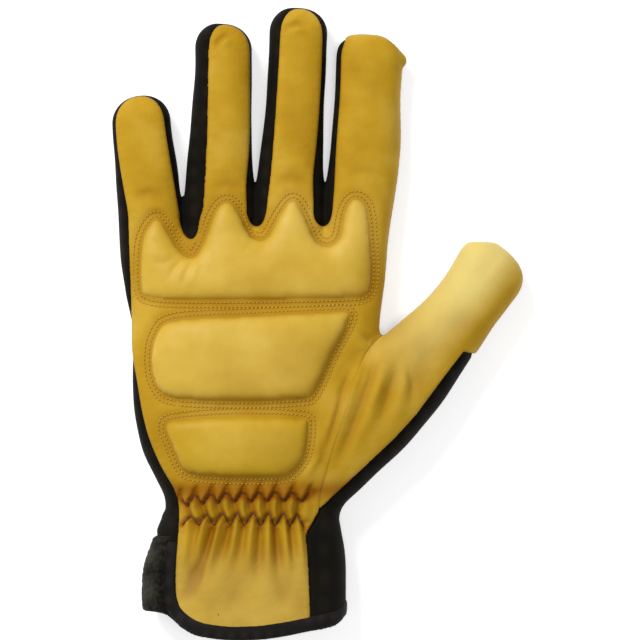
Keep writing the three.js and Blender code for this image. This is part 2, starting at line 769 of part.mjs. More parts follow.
// The binding folds over the raw edge of the hem and of the slit.
function cuffBinding() {
  const folded = hull(binding_rise).subtract(room);
  const hem = folded.intersect(hem_band).intersect(block([-wide, -tall, 0], [wide, tall, high]));
  return whole(hem.add(folded.intersect(slit_strip)));
}

function closureTab() {
  const top = -slit_start * cuff_length + tab_rise;
  const points = [
    [-wide, top],
    [section(hand, top).hide_left - binding_width - seam_clearance, top],
    [section(hand, top - tab_length).hide_left - binding_width - seam_clearance, top - tab_length],
    [-wide, top - tab_length],
  ];
  const band = hull(seam_clearance + tab_thickness).subtract(clear_skin);
  const piece = band.intersect(prism(points, tab_lowest, high));
  return whole(piece.subtract(hem_band_and_clearance).subtract(slit_strip_and_clearance));
}

const hide_look = { color: 0xc89a3a, roughness: 0.6, metalness: 0 };
const fabric_look = { color: 0x17150f, roughness: 0.9, metalness: 0 };
const binding_look = { color: 0x1c1a15, roughness: 0.8, metalness: 0 };
const loop_look = { color: 0x202319, roughness: 1, metalness: 0 };

const glove = new THREE.Group();

function place(name, solid, look) {
  const raw = solid.getMesh();
  const geometry = new THREE.BufferGeometry();
  geometry.setAttribute("position", new THREE.Float32BufferAttribute(raw.vertProperties, 3));
  geometry.setIndex(Array.from(raw.triVerts));
  geometry.computeVertexNormals();
  const mesh = new THREE.Mesh(geometry, new THREE.MeshStandardMaterial(look));
  mesh.name = name;
  glove.add(mesh);
}

place("palm_leather", palmLeather(), hide_look);
place("thumb_leather", thumbLeather(), hide_look);
place("back_panel", backPanel(), fabric_look);
fourchette_names.forEach((name, i) => place(name, fourchette(i), fabric_look));
place("pad_knuckles", pad(knuckle_outline, knuckle_spine, clear_skin), hide_look);
place("pad_palm", pad(palm_outline, palm_spine, clear_skin), hide_look);
place("pad_heel", pad(heel_outline, heel_spine, clear_skin), hide_look);
place("cuff_back", cuffBack(), fabric_look);
place("cuff_binding", cuffBinding(), binding_look);
place("closure_tab", closureTab(), loop_look);

// The origin is under the middle of the glove, on the surface that it lies on.
const box = new THREE.Box3().setFromObject(glove);
const centre = box.getCenter(new THREE.Vector3());
glove.position.set(-centre.x, -centre.y, -box.min.z);

export default glove;
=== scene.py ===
# %% [markdown]
# # A work glove of goat hide and stretch fabric
#
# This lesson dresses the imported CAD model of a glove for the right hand. Golden goat hide covers
# the palm, the fronts of the fingers and the thumb. Black stretch fabric makes the back and the
# side walls of the fingers. Three gel pads lie under covers of the same hide, the wrist is
# gathered on two rows of zigzag stitches, and a ribbed tape binds the cuff.

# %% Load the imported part
import math

import bpy
import numpy as np
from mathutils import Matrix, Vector
from mathutils.geometry import delaunay_2d_cdt


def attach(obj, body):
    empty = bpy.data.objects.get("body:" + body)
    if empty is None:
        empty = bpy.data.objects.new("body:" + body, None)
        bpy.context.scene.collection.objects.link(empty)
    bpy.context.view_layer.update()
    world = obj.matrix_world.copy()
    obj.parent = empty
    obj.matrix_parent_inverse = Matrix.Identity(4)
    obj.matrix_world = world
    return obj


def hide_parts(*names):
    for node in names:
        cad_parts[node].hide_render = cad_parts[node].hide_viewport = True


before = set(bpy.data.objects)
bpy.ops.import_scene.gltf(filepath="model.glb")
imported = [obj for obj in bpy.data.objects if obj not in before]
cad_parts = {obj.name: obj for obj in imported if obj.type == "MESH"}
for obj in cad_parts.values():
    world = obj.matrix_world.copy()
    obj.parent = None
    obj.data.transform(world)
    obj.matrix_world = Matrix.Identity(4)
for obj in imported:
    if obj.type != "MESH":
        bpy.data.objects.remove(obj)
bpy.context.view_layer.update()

# %% [markdown]
# The picture was taken from straight above the palm with a long lens, so the camera looks down
# from far away with a narrow view. The glove's longest side fills the frame.

# %% Camera
camera_data = bpy.data.cameras.new("straight_down")
camera = bpy.data.objects.new("straight_down", camera_data)
bpy.context.scene.collection.objects.link(camera)
camera_height, framed_height, frame_width = 1.8, 0.012, 0.2536
frame_centre = (0.00206, 0.00103)
camera_data.sensor_width = 36
camera_data.lens = camera_data.sensor_width * (camera_height - framed_height) / frame_width
camera.location = (*frame_centre, camera_height)
bpy.context.scene.camera = camera
print(f"lens: {camera_data.lens:.0f} mm")

# %% [markdown]
# Every length below is in millimetres, with X towards the thumb, Y towards the fingertips and
# the wrist line at Y = 0. A place on the palm is written as it reads in the straight-down
# picture, and `spots` turns it to millimetres.

# %% Units
MM = 0.001
to_frame = np.array([-25.28, -76.24, 0.0])
picture_mm, wrist_x, wrist_y = 0.3962, 251, 515


def spots(*places):
    return np.array([((x - wrist_x) * picture_mm, (wrist_y - y) * picture_mm) for x, y in places])


print(f"the picture's 640 pixels are {640 * picture_mm:.1f} mm")


# %% [markdown]
# ## The filled shape of the glove
#
# The glove is a hand with six limbs: the palm with its cuff, four fingers and a thumb. Each limb
# is a tube whose cross-section is a squarish ellipse, so a short table of its left and right
# edges and its heights describes it. The tables are those of the CAD part, but for the end of
# the thumb, which is 1 mm longer and a little fuller here.

# %% Driving sizes
palm_length, palm_width, palm_depth = 113, 98, 29
wrist_width, wrist_depth = 69, 25
cuff_length, cuff_depth = 49, 29
finger_depth, thumb_depth = 20, 25
wall, seam_height = 1.8, 7.2
squareness, pressed = 2.5, 0.12


def table(names, *lines):
    return dict(zip(names.split(), np.array(lines, float).T))


cuff_rows = table(
    "at left right hide_left hide_right open",
    (1.02, -0.53, 0.53, -0.4, 0.34, 1),
    (0.8, -0.565, 0.545, -0.42, 0.34, 0.97),
    (0.53, -0.565, 0.545, -0.43, 0.335, 0.8),
    (0.28, -0.55, 0.54, -0.425, 0.325, 0.45),
    (0.12, -0.525, 0.52, -0.415, 0.32, 0.12),
)
palm_rows = table(
    "at left right hide_left firm wrist",
    (0, -0.497, 0.504, -0.41, 0.9, 1),
    (0.06, -0.45, 0.455, -0.375, 0.93, 0.75),
    (0.123, -0.425, 0.43, -0.37, 0.96, 0.35),
    (0.228, -0.446, 0.44, -0.4, 0.98, 0.07),
    (0.333, -0.465, 0.462, -0.43, 1, 0),
    (0.438, -0.477, 0.487, -0.452, 1, 0),
    (0.579, -0.483, 0.507, -0.48, 0.98, 0),
    (0.69, -0.484, 0.513, -0.482, 0.93, 0),
    (0.79, -0.5, 0.526, -0.485, 0.85, 0),
    (0.894, -0.513, 0.522, -0.49, 0.74, 0),
    (1, -0.49, 0.5, -0.494, 0.6, 0),
)
finger_names = "at left right hide_left hide_right"
finger_tables = {
    "pinky": dict(
        across=-0.4, up=0.887, length=66.8, width=25.8, lean=-4.4,
        rows=table(
            finger_names,
            (-0.3, -0.37, 0.55, -0.385, 0.55),
            (0, -0.46, 0.585, -0.385, 0.55),
            (0.25, -0.473, 0.527, -0.304, 0.488),
            (0.5, -0.462, 0.508, -0.362, 0.431),
            (0.75, -0.465, 0.458, -0.4, 0.373),
            (1, -0.43, 0.431, -0.37, 0.35),
        ),
    ),
    "ring": dict(
        across=-0.135, up=0.901, length=93.5, width=25, lean=1.8,
        rows=table(
            finger_names,
            (-0.3, -0.484, 0.595, -0.294, 0.58),
            (0, -0.484, 0.595, -0.294, 0.58),
            (0.25, -0.562, 0.549, -0.244, 0.43),
            (0.5, -0.512, 0.488, -0.226, 0.456),
            (0.75, -0.462, 0.459, -0.24, 0.43),
            (1, -0.476, 0.429, -0.25, 0.39),
        ),
    ),
    "middle": dict(
        across=0.152, up=0.912, length=98.6, width=25.2, lean=2.8,
        rows=table(
            finger_names,
            (-0.3, -0.496, 0.575, -0.47, 0.52),
            (0, -0.496, 0.575, -0.47, 0.52),
            (0.25, -0.559, 0.504, -0.362, 0.339),
            (0.5, -0.496, 0.449, -0.323, 0.37),
            (0.75, -0.465, 0.449, -0.307, 0.38),
            (1, -0.48, 0.433, -0.3, 0.354),
        ),
    ),
    "index": dict(
        across=0.422, up=0.901, length=88.5, width=27.1, lean=3.6,
        rows=table(
            finger_names,
            (-0.3, -0.445, 0.31, -0.416, 0.65),
            (0, -0.445, 0.425, -0.416, 0.65),
            (0.25, -0.496, 0.482, -0.38, 0.65),
            (0.5, -0.46, 0.547, -0.387, 0.65),
            (0.75, -0.453, 0.496, -0.38, 0.65),
            (1, -0.474, 0.474, -0.416, 0.65),
        ),
    ),
}
finger_heights = table(
    "at top under",
    (-0.3, 0.8, 0.35),
    (0.02, 1, -0.04),
    (0.22, 0.97, -0.12),
    (0.5, 0.93, -0.12),
    (0.75, 0.9, -0.12),
    (1, 0.84, -0.06),
)
thumb_place = dict(across=0.323, up=0.242, length=103.5, width=28, lean=39.4)
thumb_rows = table(
    "at left right hide_right top under",
    (-0.24, -0.5, 0.6, 0.42, 0.88, 0.3),
    (0, -0.72, 0.735, 0.533, 1.05, -0.02),
    (0.25, -0.6, 0.835, 0.64, 1.08, -0.12),
    (0.5, -0.36, 0.788, 0.606, 0.98, -0.12),
    (0.75, -0.25, 0.688, 0.59, 0.88, -0.12),
    (1, -0.39, 0.66, 0.58, 0.82, -0.1),
)

print(f"tables for the palm, {len(finger_tables)} fingers and a thumb")

# %% [markdown]
# A smooth curve through the rows gives every value between them. Straight lines would be simpler
# but leave a kink in the hide at every row. Each limb keeps its curves as finely sampled columns.


# %% Limbs
def smooth_between(at, values, places):
    """Hermite curves between the rows, with slopes from the neighbouring rows."""
    slope = np.empty_like(values)
    slope[1:-1] = (values[2:] - values[:-2]) / (at[2:] - at[:-2])
    slope[[0, -1]] = np.diff(values)[[0, -1]] / np.diff(at)[[0, -1]]
    i = np.clip(np.searchsorted(at, places) - 1, 0, len(at) - 2)
    span = at[i + 1] - at[i]
    t = np.clip((places - at[i]) / span, 0, 1)
    a, b, start, end = values[i], values[i + 1], slope[i] * span, slope[i + 1] * span
    bend = 3 * (b - a) - 2 * start - end
    return a + t * (start + t * (bend + t * (2 * (a - b) + start + end)))


round_tip, squarer_tip, flat_tip = 2.15, 2.5, 3.0


def limb(place, edges, heights, depth, tip_round, tip_power=round_tip):
    length, width = place["length"], place["width"]
    places = np.linspace(edges["at"][0], edges["at"][-1], 500)
    made = dict(place, lean=math.radians(place["lean"]), at=places * length)
    made.update(tip_round=tip_round, tip_power=tip_power)
    for name in edges.keys() - {"at", "top", "under"}:
        made[name] = smooth_between(edges["at"], edges[name], places) * width
    for name in ("top", "under"):
        made[name] = smooth_between(heights["at"], heights[name], places) * depth
    made["root"] = (place["across"] * palm_width, place["up"] * palm_length)
    return made


hide_right_share = 0.385
hidden_end = dict(length=palm_length + 2.0, tip_round=9.0, tip_power=2.0)


def hand_limb():
    """The palm and the cuff as one limb, whose rows mix the wrist's and the palm's sizes."""
    cuff_at, palm_at = -cuff_rows["at"] * cuff_length, palm_rows["at"] * palm_length
    breadth = palm_rows["wrist"] * wrist_width + (1 - palm_rows["wrist"]) * palm_width
    at = np.concatenate([cuff_at, palm_at])
    columns = {
        name: np.concatenate([cuff_rows[name] * wrist_width, palm_rows[name] * breadth])
        for name in ("left", "right", "hide_left")
    }
    above_wrist = np.full(len(palm_at), hide_right_share)
    columns["hide_right"] = wrist_width * np.concatenate([cuff_rows["hide_right"], above_wrist])
    cuff_top = wrist_depth + cuff_rows["open"] * (cuff_depth - wrist_depth)
    share = palm_rows["wrist"]
    palm_top = share * wrist_depth + (1 - share) * palm_rows["firm"] * palm_depth
    columns["top"] = np.concatenate([cuff_top, palm_top])
    columns["under"] = -pressed * columns["top"]
    places = np.linspace(at[0], at[-1], 700)
    made = dict(root=(0.0, 0.0), lean=0.0, at=places, **hidden_end)
    for name, values in columns.items():
        made[name] = smooth_between(at, values, places)
    return made


hand = hand_limb()
fingers = {
    name: limb(place, place["rows"], finger_heights, finger_depth, 11.0)
    for name, place in finger_tables.items()
}
fingers["index"]["tip_power"] = flat_tip
thumb = limb(thumb_place, thumb_rows, thumb_rows, thumb_depth, 13.0, squarer_tip)
print(f"the palm is {hand['right'].max() - hand['left'].min():.1f} mm wide")

# %% [markdown]
# ## One skin from a distance field
#
# The skin could be sculpted, or built from faces that are stitched together by hand. Here it
# comes from a field that says how far a point is outside the nearest limb. Fields blend smoothly
# where limbs meet, just as sewn hide bridges the crotch between two fingers.


# %% Distance to a limb
def along_and_across(part, points):
    dx, dy = points[..., 0] - part["root"][0], points[..., 1] - part["root"][1]
    s, c = math.sin(part["lean"]), math.cos(part["lean"])
    return dx * s + dy * c, dx * c - dy * s


root_round = 6.0


def section_at(part, along):
    """Left and right edge, top and underside of a limb's section."""
    return (np.interp(along, part["at"], part[k]) for k in ("left", "right", "top", "under"))


def limb_distance(part, points):
    """How far the points are outside a limb, nearly in millimetres, and negative inside."""
    along, across = along_and_across(part, points)
    left, right, top, under = section_at(part, along)
    half, rise = (right - left) / 2, (top - under) / 2
    u = np.abs(across - (left + right) / 2) / half
    v = np.abs(points[..., 2] - (top + under) / 2) / rise
    q = (u**squareness + v**squareness) ** (1 / squareness) + 1e-4
    n = squareness - 1
    steep = ((u / q) ** n / half) ** 2 + ((v / q) ** n / rise) ** 2
    t, tip = part["tip_power"], part["tip_round"]
    into = np.clip((along - part["length"] + tip) / tip, 0, None)
    back = np.clip((part["at"][0] - along) / root_round, 0, None) if part is not hand else 0
    full = (q**t + into**t + back**t) ** (1 / t)
    steep = (q / full) ** (2 * t - 2) * steep + ((into / full) ** (t - 1) / tip) ** 2
    return (full - 1) / np.sqrt(np.maximum(steep, (0.5 / half) ** 2))


def smooth_min(a, b, reach):
    h = np.clip(reach - np.abs(a - b), 0, None) / reach
    return np.minimum(a, b) - h * h * reach / 4


def smooth_max(a, b, reach):
    return -smooth_min(-a, -b, reach)


middle_of_palm = np.array([[0.0, palm_length / 2, 0.0]])
print(f"the middle of the palm is {-limb_distance(hand, middle_of_palm)[0]:.1f} mm deep")

# %% [markdown]
# The blend is wide in the web of the thumb and narrow between the fingers. The underside is
# pressed flat where the glove rests, with a rounded edge. The thumb's end and the forefinger's
# corner are cut by a flat, as the worn glove shows, and a small ear of hide stands out below it.

# %% The whole field
finger_web, palm_web, thumb_web, resting_edge = 2.5, 3.5, 5.0, 4.0
thumb_flat_top, thumb_flat_edge = spots((480, 243.5))[0, 1], 0.7
index_corner, index_corner_edge = spots((385, 38), (406, 56)), 1.5
index_ear, ear_radius, ear_web = np.append(spots((399.6, 59.5))[0], 9.0), 2.0, 2.5


def thumb_distance(points):
    above = points[..., 1] - thumb_flat_top
    return smooth_max(limb_distance(thumb, points), above, thumb_flat_edge)


def index_distance(points):
    dx, dy = index_corner[1] - index_corner[0]
    across = points[..., 0] - index_corner[0, 0]
    beyond = ((points[..., 1] - index_corner[0, 1]) * dx - across * dy) / np.hypot(dx, dy)
    ear = np.linalg.norm(points - index_ear, axis=-1) - ear_radius
    with_ear = smooth_min(limb_distance(fingers["index"], points), ear, ear_web)
    return smooth_max(with_ear, beyond, index_corner_edge)


def skin_distance(points):
    together = limb_distance(fingers["pinky"], points)
    for name in ("ring", "middle"):
        together = smooth_min(together, limb_distance(fingers[name], points), finger_web)
    together = smooth_min(together, index_distance(points), finger_web)
    whole = smooth_min(limb_distance(hand, points), together, palm_web)
    whole = smooth_min(whole, thumb_distance(points), thumb_web)
    return smooth_max(whole, -points[..., 2], resting_edge)


def skin_normal(points, step=0.05):
    """The way out of the skin at each point, and the field's slope there."""
    sides = []
    for axis in range(3):
        move = np.zeros(3)
        move[axis] = step
        sides.append(skin_distance(points + move) - skin_distance(points - move))
    slope = np.stack(sides, -1) / (2 * step)
    return slope / np.maximum(np.linalg.norm(slope, axis=-1, keepdims=True), 1e-9), slope


least_slope, longest_step = 0.3, 1.5


def settle(points, rounds=3):
    """Moves the points onto the skin."""
    for _ in range(rounds):
        normal, slope = skin_normal(points)
        steep = np.maximum(np.sum(slope * normal, -1), least_slope)
        step = np.clip(skin_distance(points) / steep, -longest_step, longest_step)
        points = points - normal * step[..., None]
    return points


# %% [markdown]
# The field is sampled on a grid of small cubes. Each cube that the skin passes through gets one
# point, and cubes that share an edge are joined by a face. This makes even faces about as large
# as a cube, fine enough for wrinkles two or three millimetres wide.


# %% Mesh of the skin
def grid_field(step, low, high):
    axes = [np.arange(a, b, step) for a, b in zip(low, high)]
    field = np.empty([len(a) for a in axes], np.float32)
    for i, x in enumerate(axes[0]):
        field[i] = skin_distance(np.stack(np.meshgrid([x], axes[1], axes[2], indexing="ij"), -1))[0]
    return field


def net_through(field, step, low):
    """Points and four-sided faces of the surface where a sampled field is zero."""
    inside = field < 0
    corners = np.array([(i, j, k) for i in (0, 1) for j in (0, 1) for k in (0, 1)])
    cells = [n - 1 for n in field.shape]
    count = sum(
        inside[i : i + cells[0], j : j + cells[1], k : k + cells[2]].astype(np.int8)
        for i, j, k in corners
    )
    places = np.argwhere((count > 0) & (count < 8))
    total, crossings = np.zeros((len(places), 3)), np.zeros(len(places))
    for a in corners:
        for b in corners[(corners - a).sum(1) == 1]:
            if np.abs(b - a).sum() != 1:
                continue
            fa, fb = field[tuple((places + a).T)], field[tuple((places + b).T)]
            crossed = (fa < 0) != (fb < 0)
            t = np.where(crossed, fa / np.where(crossed, fa - fb, 1), 0)
            total += crossed[:, None] * (a + t[:, None] * (b - a))
            crossings += crossed
    points = np.array(low) + (places + total / crossings[:, None]) * step
    number = np.full(cells, -1, np.int32)
    number[tuple(places.T)] = np.arange(len(places))
    quads = []
    for axis in range(3):
        one, two = [n for n in range(3) if n != axis]
        near = [slice(1, -1)] * 3
        near[axis] = slice(0, -1)
        far = list(near)
        far[axis] = slice(1, None)
        change = inside[tuple(near)].astype(np.int8) - inside[tuple(far)].astype(np.int8)
        for sign in (1, -1):
            edge = np.argwhere(change == sign)
            edge[:, one] += 1
            edge[:, two] += 1
            around = []
            for s, t in ((-1, -1), (0, -1), (0, 0), (-1, 0)):
                cell = edge.copy()
                cell[:, one] += s
                cell[:, two] += t
                around.append(number[tuple(cell.T)])
            turn = np.stack(around, 1)
            quads.append(turn if (sign == 1) == (axis != 1) else turn[:, ::-1])
    return points, np.concatenate(quads)


relax_share, relax_rounds = 0.6, 4


def relax(points, quads, rounds):
    """Evens out the net: each point moves towards its neighbours' mean and back to the skin."""
    edges = np.concatenate([quads[:, [i, (i + 1) % 4]] for i in range(4)])
    edges = np.concatenate([edges, edges[:, ::-1]])
    degree = np.bincount(edges[:, 0], minlength=len(points))
    for _ in range(rounds):
        total = [np.bincount(edges[:, 0], points[edges[:, 1], k], len(points)) for k in range(3)]
        mean = np.stack(total, 1) / degree[:, None]
        points = settle(points + relax_share * (mean - points), rounds=1)
    return points


mesh_step = 0.72
low_corner, high_corner = (-62.0, -60.0, -2.4), (110.0, 208.0, 34.0)
points, quads = net_through(grid_field(mesh_step, low_corner, high_corner), mesh_step, low_corner)
points = relax(points, quads, relax_rounds)
triangles = np.concatenate([quads[:, :3], quads[:, [0, 2, 3]]])
skin = dict(points=points, normals=skin_normal(points)[0], faces=triangles)
print(f"skin: {len(points)} points, {len(skin['faces'])} triangles")

# %% [markdown]
# ## Cutting the skin into its panels
#
# A glove is cut from flat panels, and each panel ends at a seam. Each seam is a line in the plan,
# so a signed distance to that line, negative inside, tells where to cut the skin's triangles.


# %% Cutting tools
def rounded_line(places, closed=True, steps=6):
    """A smooth line through the places, with some steps between each two."""
    p = np.asarray(places, float)
    if closed:
        a, b, c, d = np.roll(p, 1, 0), p, np.roll(p, -1, 0), np.roll(p, -2, 0)
    else:
        ends = np.concatenate([[2 * p[0] - p[1]], p, [2 * p[-1] - p[-2]]])
        a, b, c, d = ends[:-3], ends[1:-2], ends[2:-1], ends[3:]
    t = (np.arange(steps) / steps)[None, :, None]
    a, b, c, d = (x[:, None, :] for x in (a, b, c, d))
    turn, twist = 2 * a - 5 * b + 4 * c - d, 3 * b - a - 3 * c + d
    line = 0.5 * (2 * b + (c - a) * t + turn * t**2 + twist * t**3)
    line = line.reshape(-1, p.shape[1])
    return line if closed else np.concatenate([line, p[-1:]])


def even_spacing(line, step, closed=True):
    """The same line with points at even distances."""
    whole = np.concatenate([line, line[:1]]) if closed else line
    run = np.concatenate([[0], np.cumsum(np.linalg.norm(np.diff(whole, axis=0), axis=1))])
    count = max(int(round(run[-1] / step)), 2)
    places = np.linspace(0, run[-1], count, endpoint=not closed)
    return np.stack([np.interp(places, run, whole[:, k]) for k in range(whole.shape[1])], 1)


small_square = rounded_line([(0, 0), (10, 0), (10, 10), (0, 10)])
print(f"four corners make a round line of {len(small_square)} points")

# %% [markdown]
# The distance to a line is only exact near it. Beyond 14 mm nothing depends on it, which saves
# most of the work.

# %% Distance to a line
far_away = 14.0


def line_distance(points, line, closed=True):
    """Distance in the plan to a line, negative inside a closed one, and the place along it."""
    x, y = points[:, 0], points[:, 1]
    best, where = np.full(len(x), far_away), np.zeros(len(x))
    inside = np.zeros(len(x), bool)
    ends = np.roll(line, -1, 0) if closed else line[1:]
    run = 0.0
    for a, b in zip(line, ends):
        d = b - a
        length = max(float(np.hypot(*d)), 1e-9)
        low, high = np.minimum(a, b) - far_away, np.maximum(a, b) + far_away
        near = np.flatnonzero((x > low[0]) & (x < high[0]) & (y > low[1]) & (y < high[1]))
        dx, dy = x[near] - a[0], y[near] - a[1]
        t = np.clip((dx * d[0] + dy * d[1]) / length**2, 0, 1)
        gap = np.hypot(dx - t * d[0], dy - t * d[1])
        nearer = gap < best[near]
        best[near[nearer]] = gap[nearer]
        where[near[nearer]] = run + t[nearer] * length
        run += length
        if closed and d[1] != 0:
            level = np.flatnonzero((a[1] > y) != (b[1] > y))
            inside[level] ^= x[level] < a[0] + (y[level] - a[1]) * d[0] / d[1]
    return (np.where(inside, -best, best) if closed else best), where


middle_distance = line_distance(np.array([[5.0, 5.0]]), small_square)[0][0]
print(f"the middle of a 10 mm square lies {-middle_distance:.1f} mm inside its rounded line")

# %% [markdown]
# Shears follow the chalk line, and so does the cut here: a triangle that the line crosses is
# divided there. Dropping whole triangles would be easier, but would leave a jagged edge.

# %% Cut along a line
snap = 0.15


def clip(mesh, side):
    """The part of a triangle mesh where side is negative, cut along its zero line."""
    side = np.where(np.abs(side) < snap, 0.0, side)
    faces, kept = mesh["faces"], side <= 0
    inner = kept[faces]
    some = inner.any(1) & (side[faces] < 0).any(1)
    whole = faces[inner.all(1) & some]
    cut = faces[some & ~inner.all(1)]
    cut_in = kept[cut]
    lone = np.where(cut_in.sum(1) == 1, np.argmax(cut_in, 1), np.argmin(cut_in, 1))
    turn = (lone[:, None] + np.arange(3)) % 3
    cut = np.take_along_axis(cut, turn, 1)
    single = cut_in.sum(1) == 1
    one, two = cut[single], cut[~single]
    wanted = np.concatenate([one[:, [0, 1]], one[:, [0, 2]], two[:, [1, 0]], two[:, [2, 0]]])
    pairs, index = np.unique(wanted, axis=0, return_inverse=True)
    index = index.reshape(-1)
    t = side[pairs[:, 0]] / (side[pairs[:, 0]] - side[pairs[:, 1]])
    fresh = np.where(side[pairs[:, 0]] == 0, pairs[:, 0], len(side) + np.arange(len(pairs)))[index]
    ab, ac, bc, ca = np.split(fresh, np.cumsum([len(one), len(one), len(two)]))
    faces = np.concatenate([
        whole,
        np.stack([one[:, 0], ab, ac], 1),
        np.stack([two[:, 1], two[:, 2], bc], 1),
        np.stack([two[:, 2], ca, bc], 1),
    ])
    good = (faces != np.roll(faces, 1, 1)).all(1)
    used, faces = np.unique(faces[good], return_inverse=True)
    made = {"faces": faces.reshape(-1, 3)}
    for name, values in dict(mesh, side=side).items():
        if name != "faces":
            share = t.reshape([-1] + [1] * (values.ndim - 1))
            new = values[pairs[:, 0]] * (1 - share) + values[pairs[:, 1]] * share
            made[name] = np.concatenate([values, new])[used]
    return made


# %% [markdown]
# Seams and gathers need smaller triangles than the rest. Every edge between two chosen points is
# split at its middle, so the faces there become four and their neighbours two, with no gaps.


# %% Refine
def refine(mesh, chosen):
    """Smaller triangles wherever two corners of an edge are chosen."""
    faces = mesh["faces"]
    sides = np.stack([faces, np.roll(faces, -1, 1)], -1)
    split = chosen[sides].all(-1)
    pairs, index = np.unique(np.sort(sides[split], axis=1), axis=0, return_inverse=True)
    middle = np.full(faces.shape, -1)
    middle[split] = len(chosen) + index.reshape(-1)
    count = split.sum(1)
    whole = count == 3
    (a, b, c), (ab, bc, ca) = faces[whole].T, middle[whole].T
    made = [faces[count == 0]]
    made += [np.stack(turn, 1) for turn in ((a, ab, ca), (ab, b, bc), (ca, bc, c), (ab, bc, ca))]
    for k in range(3):
        one = (count == 1) & split[:, k]
        p, q, r = (faces[one, (k + turn) % 3] for turn in range(3))
        m = middle[one, k]
        made += [np.stack([p, m, r], 1), np.stack([m, q, r], 1)]
    finer = {"faces": np.concatenate(made)}
    for name in mesh.keys() - {"faces"}:
        values = mesh[name]
        finer[name] = np.concatenate([values, (values[pairs[:, 0]] + values[pairs[:, 1]]) / 2])
    return finer


# %% [markdown]
# The hide's outline follows the edges in the tables. At each crotch it runs round a narrow U, and
# near a fingertip it stays a little inside the black rim. Drawing it all by hand would be
# quicker, but it wouldn't follow when a finger's size is changed.

# %% Seam lines
crotch_lines = [
    spots(
        (178.5, 212), (181.5, 226), (185, 235.5), (192, 240.5), (197, 235), (198.5, 226),
        (201.5, 212),
    ),
    spots(
        (247, 210), (248.5, 218), (252, 224.5), (257, 227.5), (262, 224.5), (264.5, 218),
        (267, 208),
    ),
    spots(
        (313.5, 210), (314.5, 218), (318, 224.5), (323, 227.5), (328, 224.5), (331, 218),
        (332.5, 206),
    ),
]
thumb_seam = spots(
    (386, 334), (380, 337), (366, 352), (354, 380), (345, 410), (335, 440), (325, 475), (320, 494),
    (319.5, 507),
)
strip_places = np.array([0.22, 0.35, 0.5, 0.65, 0.8, 0.92, 1.0])
strip_tip_places = np.array([0.25, 0.45, 0.62, 0.76, 0.87, 0.95, 0.99])
thumb_strip_places = np.array([-0.2, -0.13, -0.05, 0.06, 0.18, 0.3, 0.42, 0.52, 0.6])
rim, thumb_lap = 0.7, 1.0
hem_past, wrist_end, palm_edge_end = -48.0, -3.0, 98.0
outline_step, outline_rounds = 1.0, 5
print(f"the crotches and the thumb give {len(crotch_lines) + 1} seams drawn by hand")

# %% [markdown]
# Each outline is a closed line in the plan, joined from edges of limbs and from seams. It runs on
# past the side of the glove where the hide wraps round, since the side seam cuts it there.


# %% Outlines of the panels
def plan_of(part, along, across):
    """Places in the plan from lengths along and across a limb."""
    s, c = math.sin(part["lean"]), math.cos(part["lean"])
    x, y = part["root"]
    return np.stack([x + along * s + across * c, y + along * c - across * s], -1)


def tip_keep(part, along):
    """The share of its width that a limb keeps towards its round tip."""
    into = np.clip((along - part["length"] + part["tip_round"]) / part["tip_round"], 0, 1)
    return (1 - into ** part["tip_power"]) ** (1 / part["tip_power"])


def strip_edge(part, side):
    """One edge of a finger's strip of hide, from its root round to its tip."""
    tip = part["tip_round"]
    bare = part["length"] - tip
    along = np.concatenate([strip_places * bare, bare + strip_tip_places * (tip - rim)])
    left, right, edge = (np.interp(along, part["at"], part[k]) for k in ("left", "right", side))
    middle = (left + right) / 2
    keep = tip_keep(part, np.concatenate([strip_places * bare, bare + strip_tip_places * tip]))
    return plan_of(part, along, middle + keep * (edge - middle))


def hand_edge(side, start, end):
    along = np.linspace(start, end, 14)
    return np.stack([np.interp(along, hand["at"], hand[side]), along], 1)


def hide_outline():
    """The palm hide's outline, which runs past the forefinger so that its hide wraps the tip."""
    index = fingers["index"]
    tip = index["length"]
    wrap_end = plan_of(index, np.array([tip + 2, tip + 6, tip + 6]), np.array([-8.5, -8.0, 20.0]))
    wrap_side = plan_of(index, np.array([60.0, 30.0, 0.0, -15.0]), 22.0)
    line = [hand_edge("hide_left", hem_past, palm_edge_end)]
    for name, crotch in zip(fingers, crotch_lines):
        part = fingers[name]
        line += [strip_edge(part, "hide_left"), strip_edge(part, "hide_right")[::-1], crotch]
    line += [strip_edge(index, "hide_left")[: len(strip_places) + 3], wrap_end, wrap_side]
    line += [thumb_seam, hand_edge("hide_right", hem_past, wrist_end)[::-1]]
    line = even_spacing(rounded_line(np.concatenate(line), steps=3), outline_step)
    for _ in range(outline_rounds):
        line = (np.roll(line, 1, 0) + 2 * line + np.roll(line, -1, 0)) / 4
    return line


def thumb_outline():
    """The thumb hide's outline. It ends beyond the thumb, and tucks under the palm's hide."""
    strip_at = thumb_strip_places * thumb["length"]
    strip = plan_of(thumb, strip_at, np.interp(strip_at, thumb["at"], thumb["hide_right"]))
    end = strip_at[-1]
    along, across = [end + 4, end + 5, 112.0, 112.0, 60.0], [24.0, 40.0, 40.0, -34.0, -20.0]
    far = plan_of(thumb, np.array(along), np.array(across))
    return np.concatenate([strip, far, thumb_seam - (thumb_lap, 0.0)])


def wall_outline(left, right, crotch):
    """A side wall's outline: between two fingers' strips of hide, and past both tips."""
    one, two = strip_edge(left, "hide_right"), strip_edge(right, "hide_left")
    tips = []
    for part in (left, right):
        tip = part["length"]
        middle = np.interp(tip, part["at"], (part["left"] + part["right"]) / 2)
        tips.append(plan_of(part, np.array([tip - rim, tip + 6]), middle))
    return np.concatenate([one, tips[0], tips[1][::-1], two[::-1], crotch[::-1]])


hide_line = hide_outline()
thumb_line = thumb_outline()
finger_list = list(fingers.values())
wall_lines = [wall_outline(finger_list[i], finger_list[i + 1], crotch_lines[i]) for i in range(3)]
print(f"the palm's hide has an outline of {len(hide_line)} points")

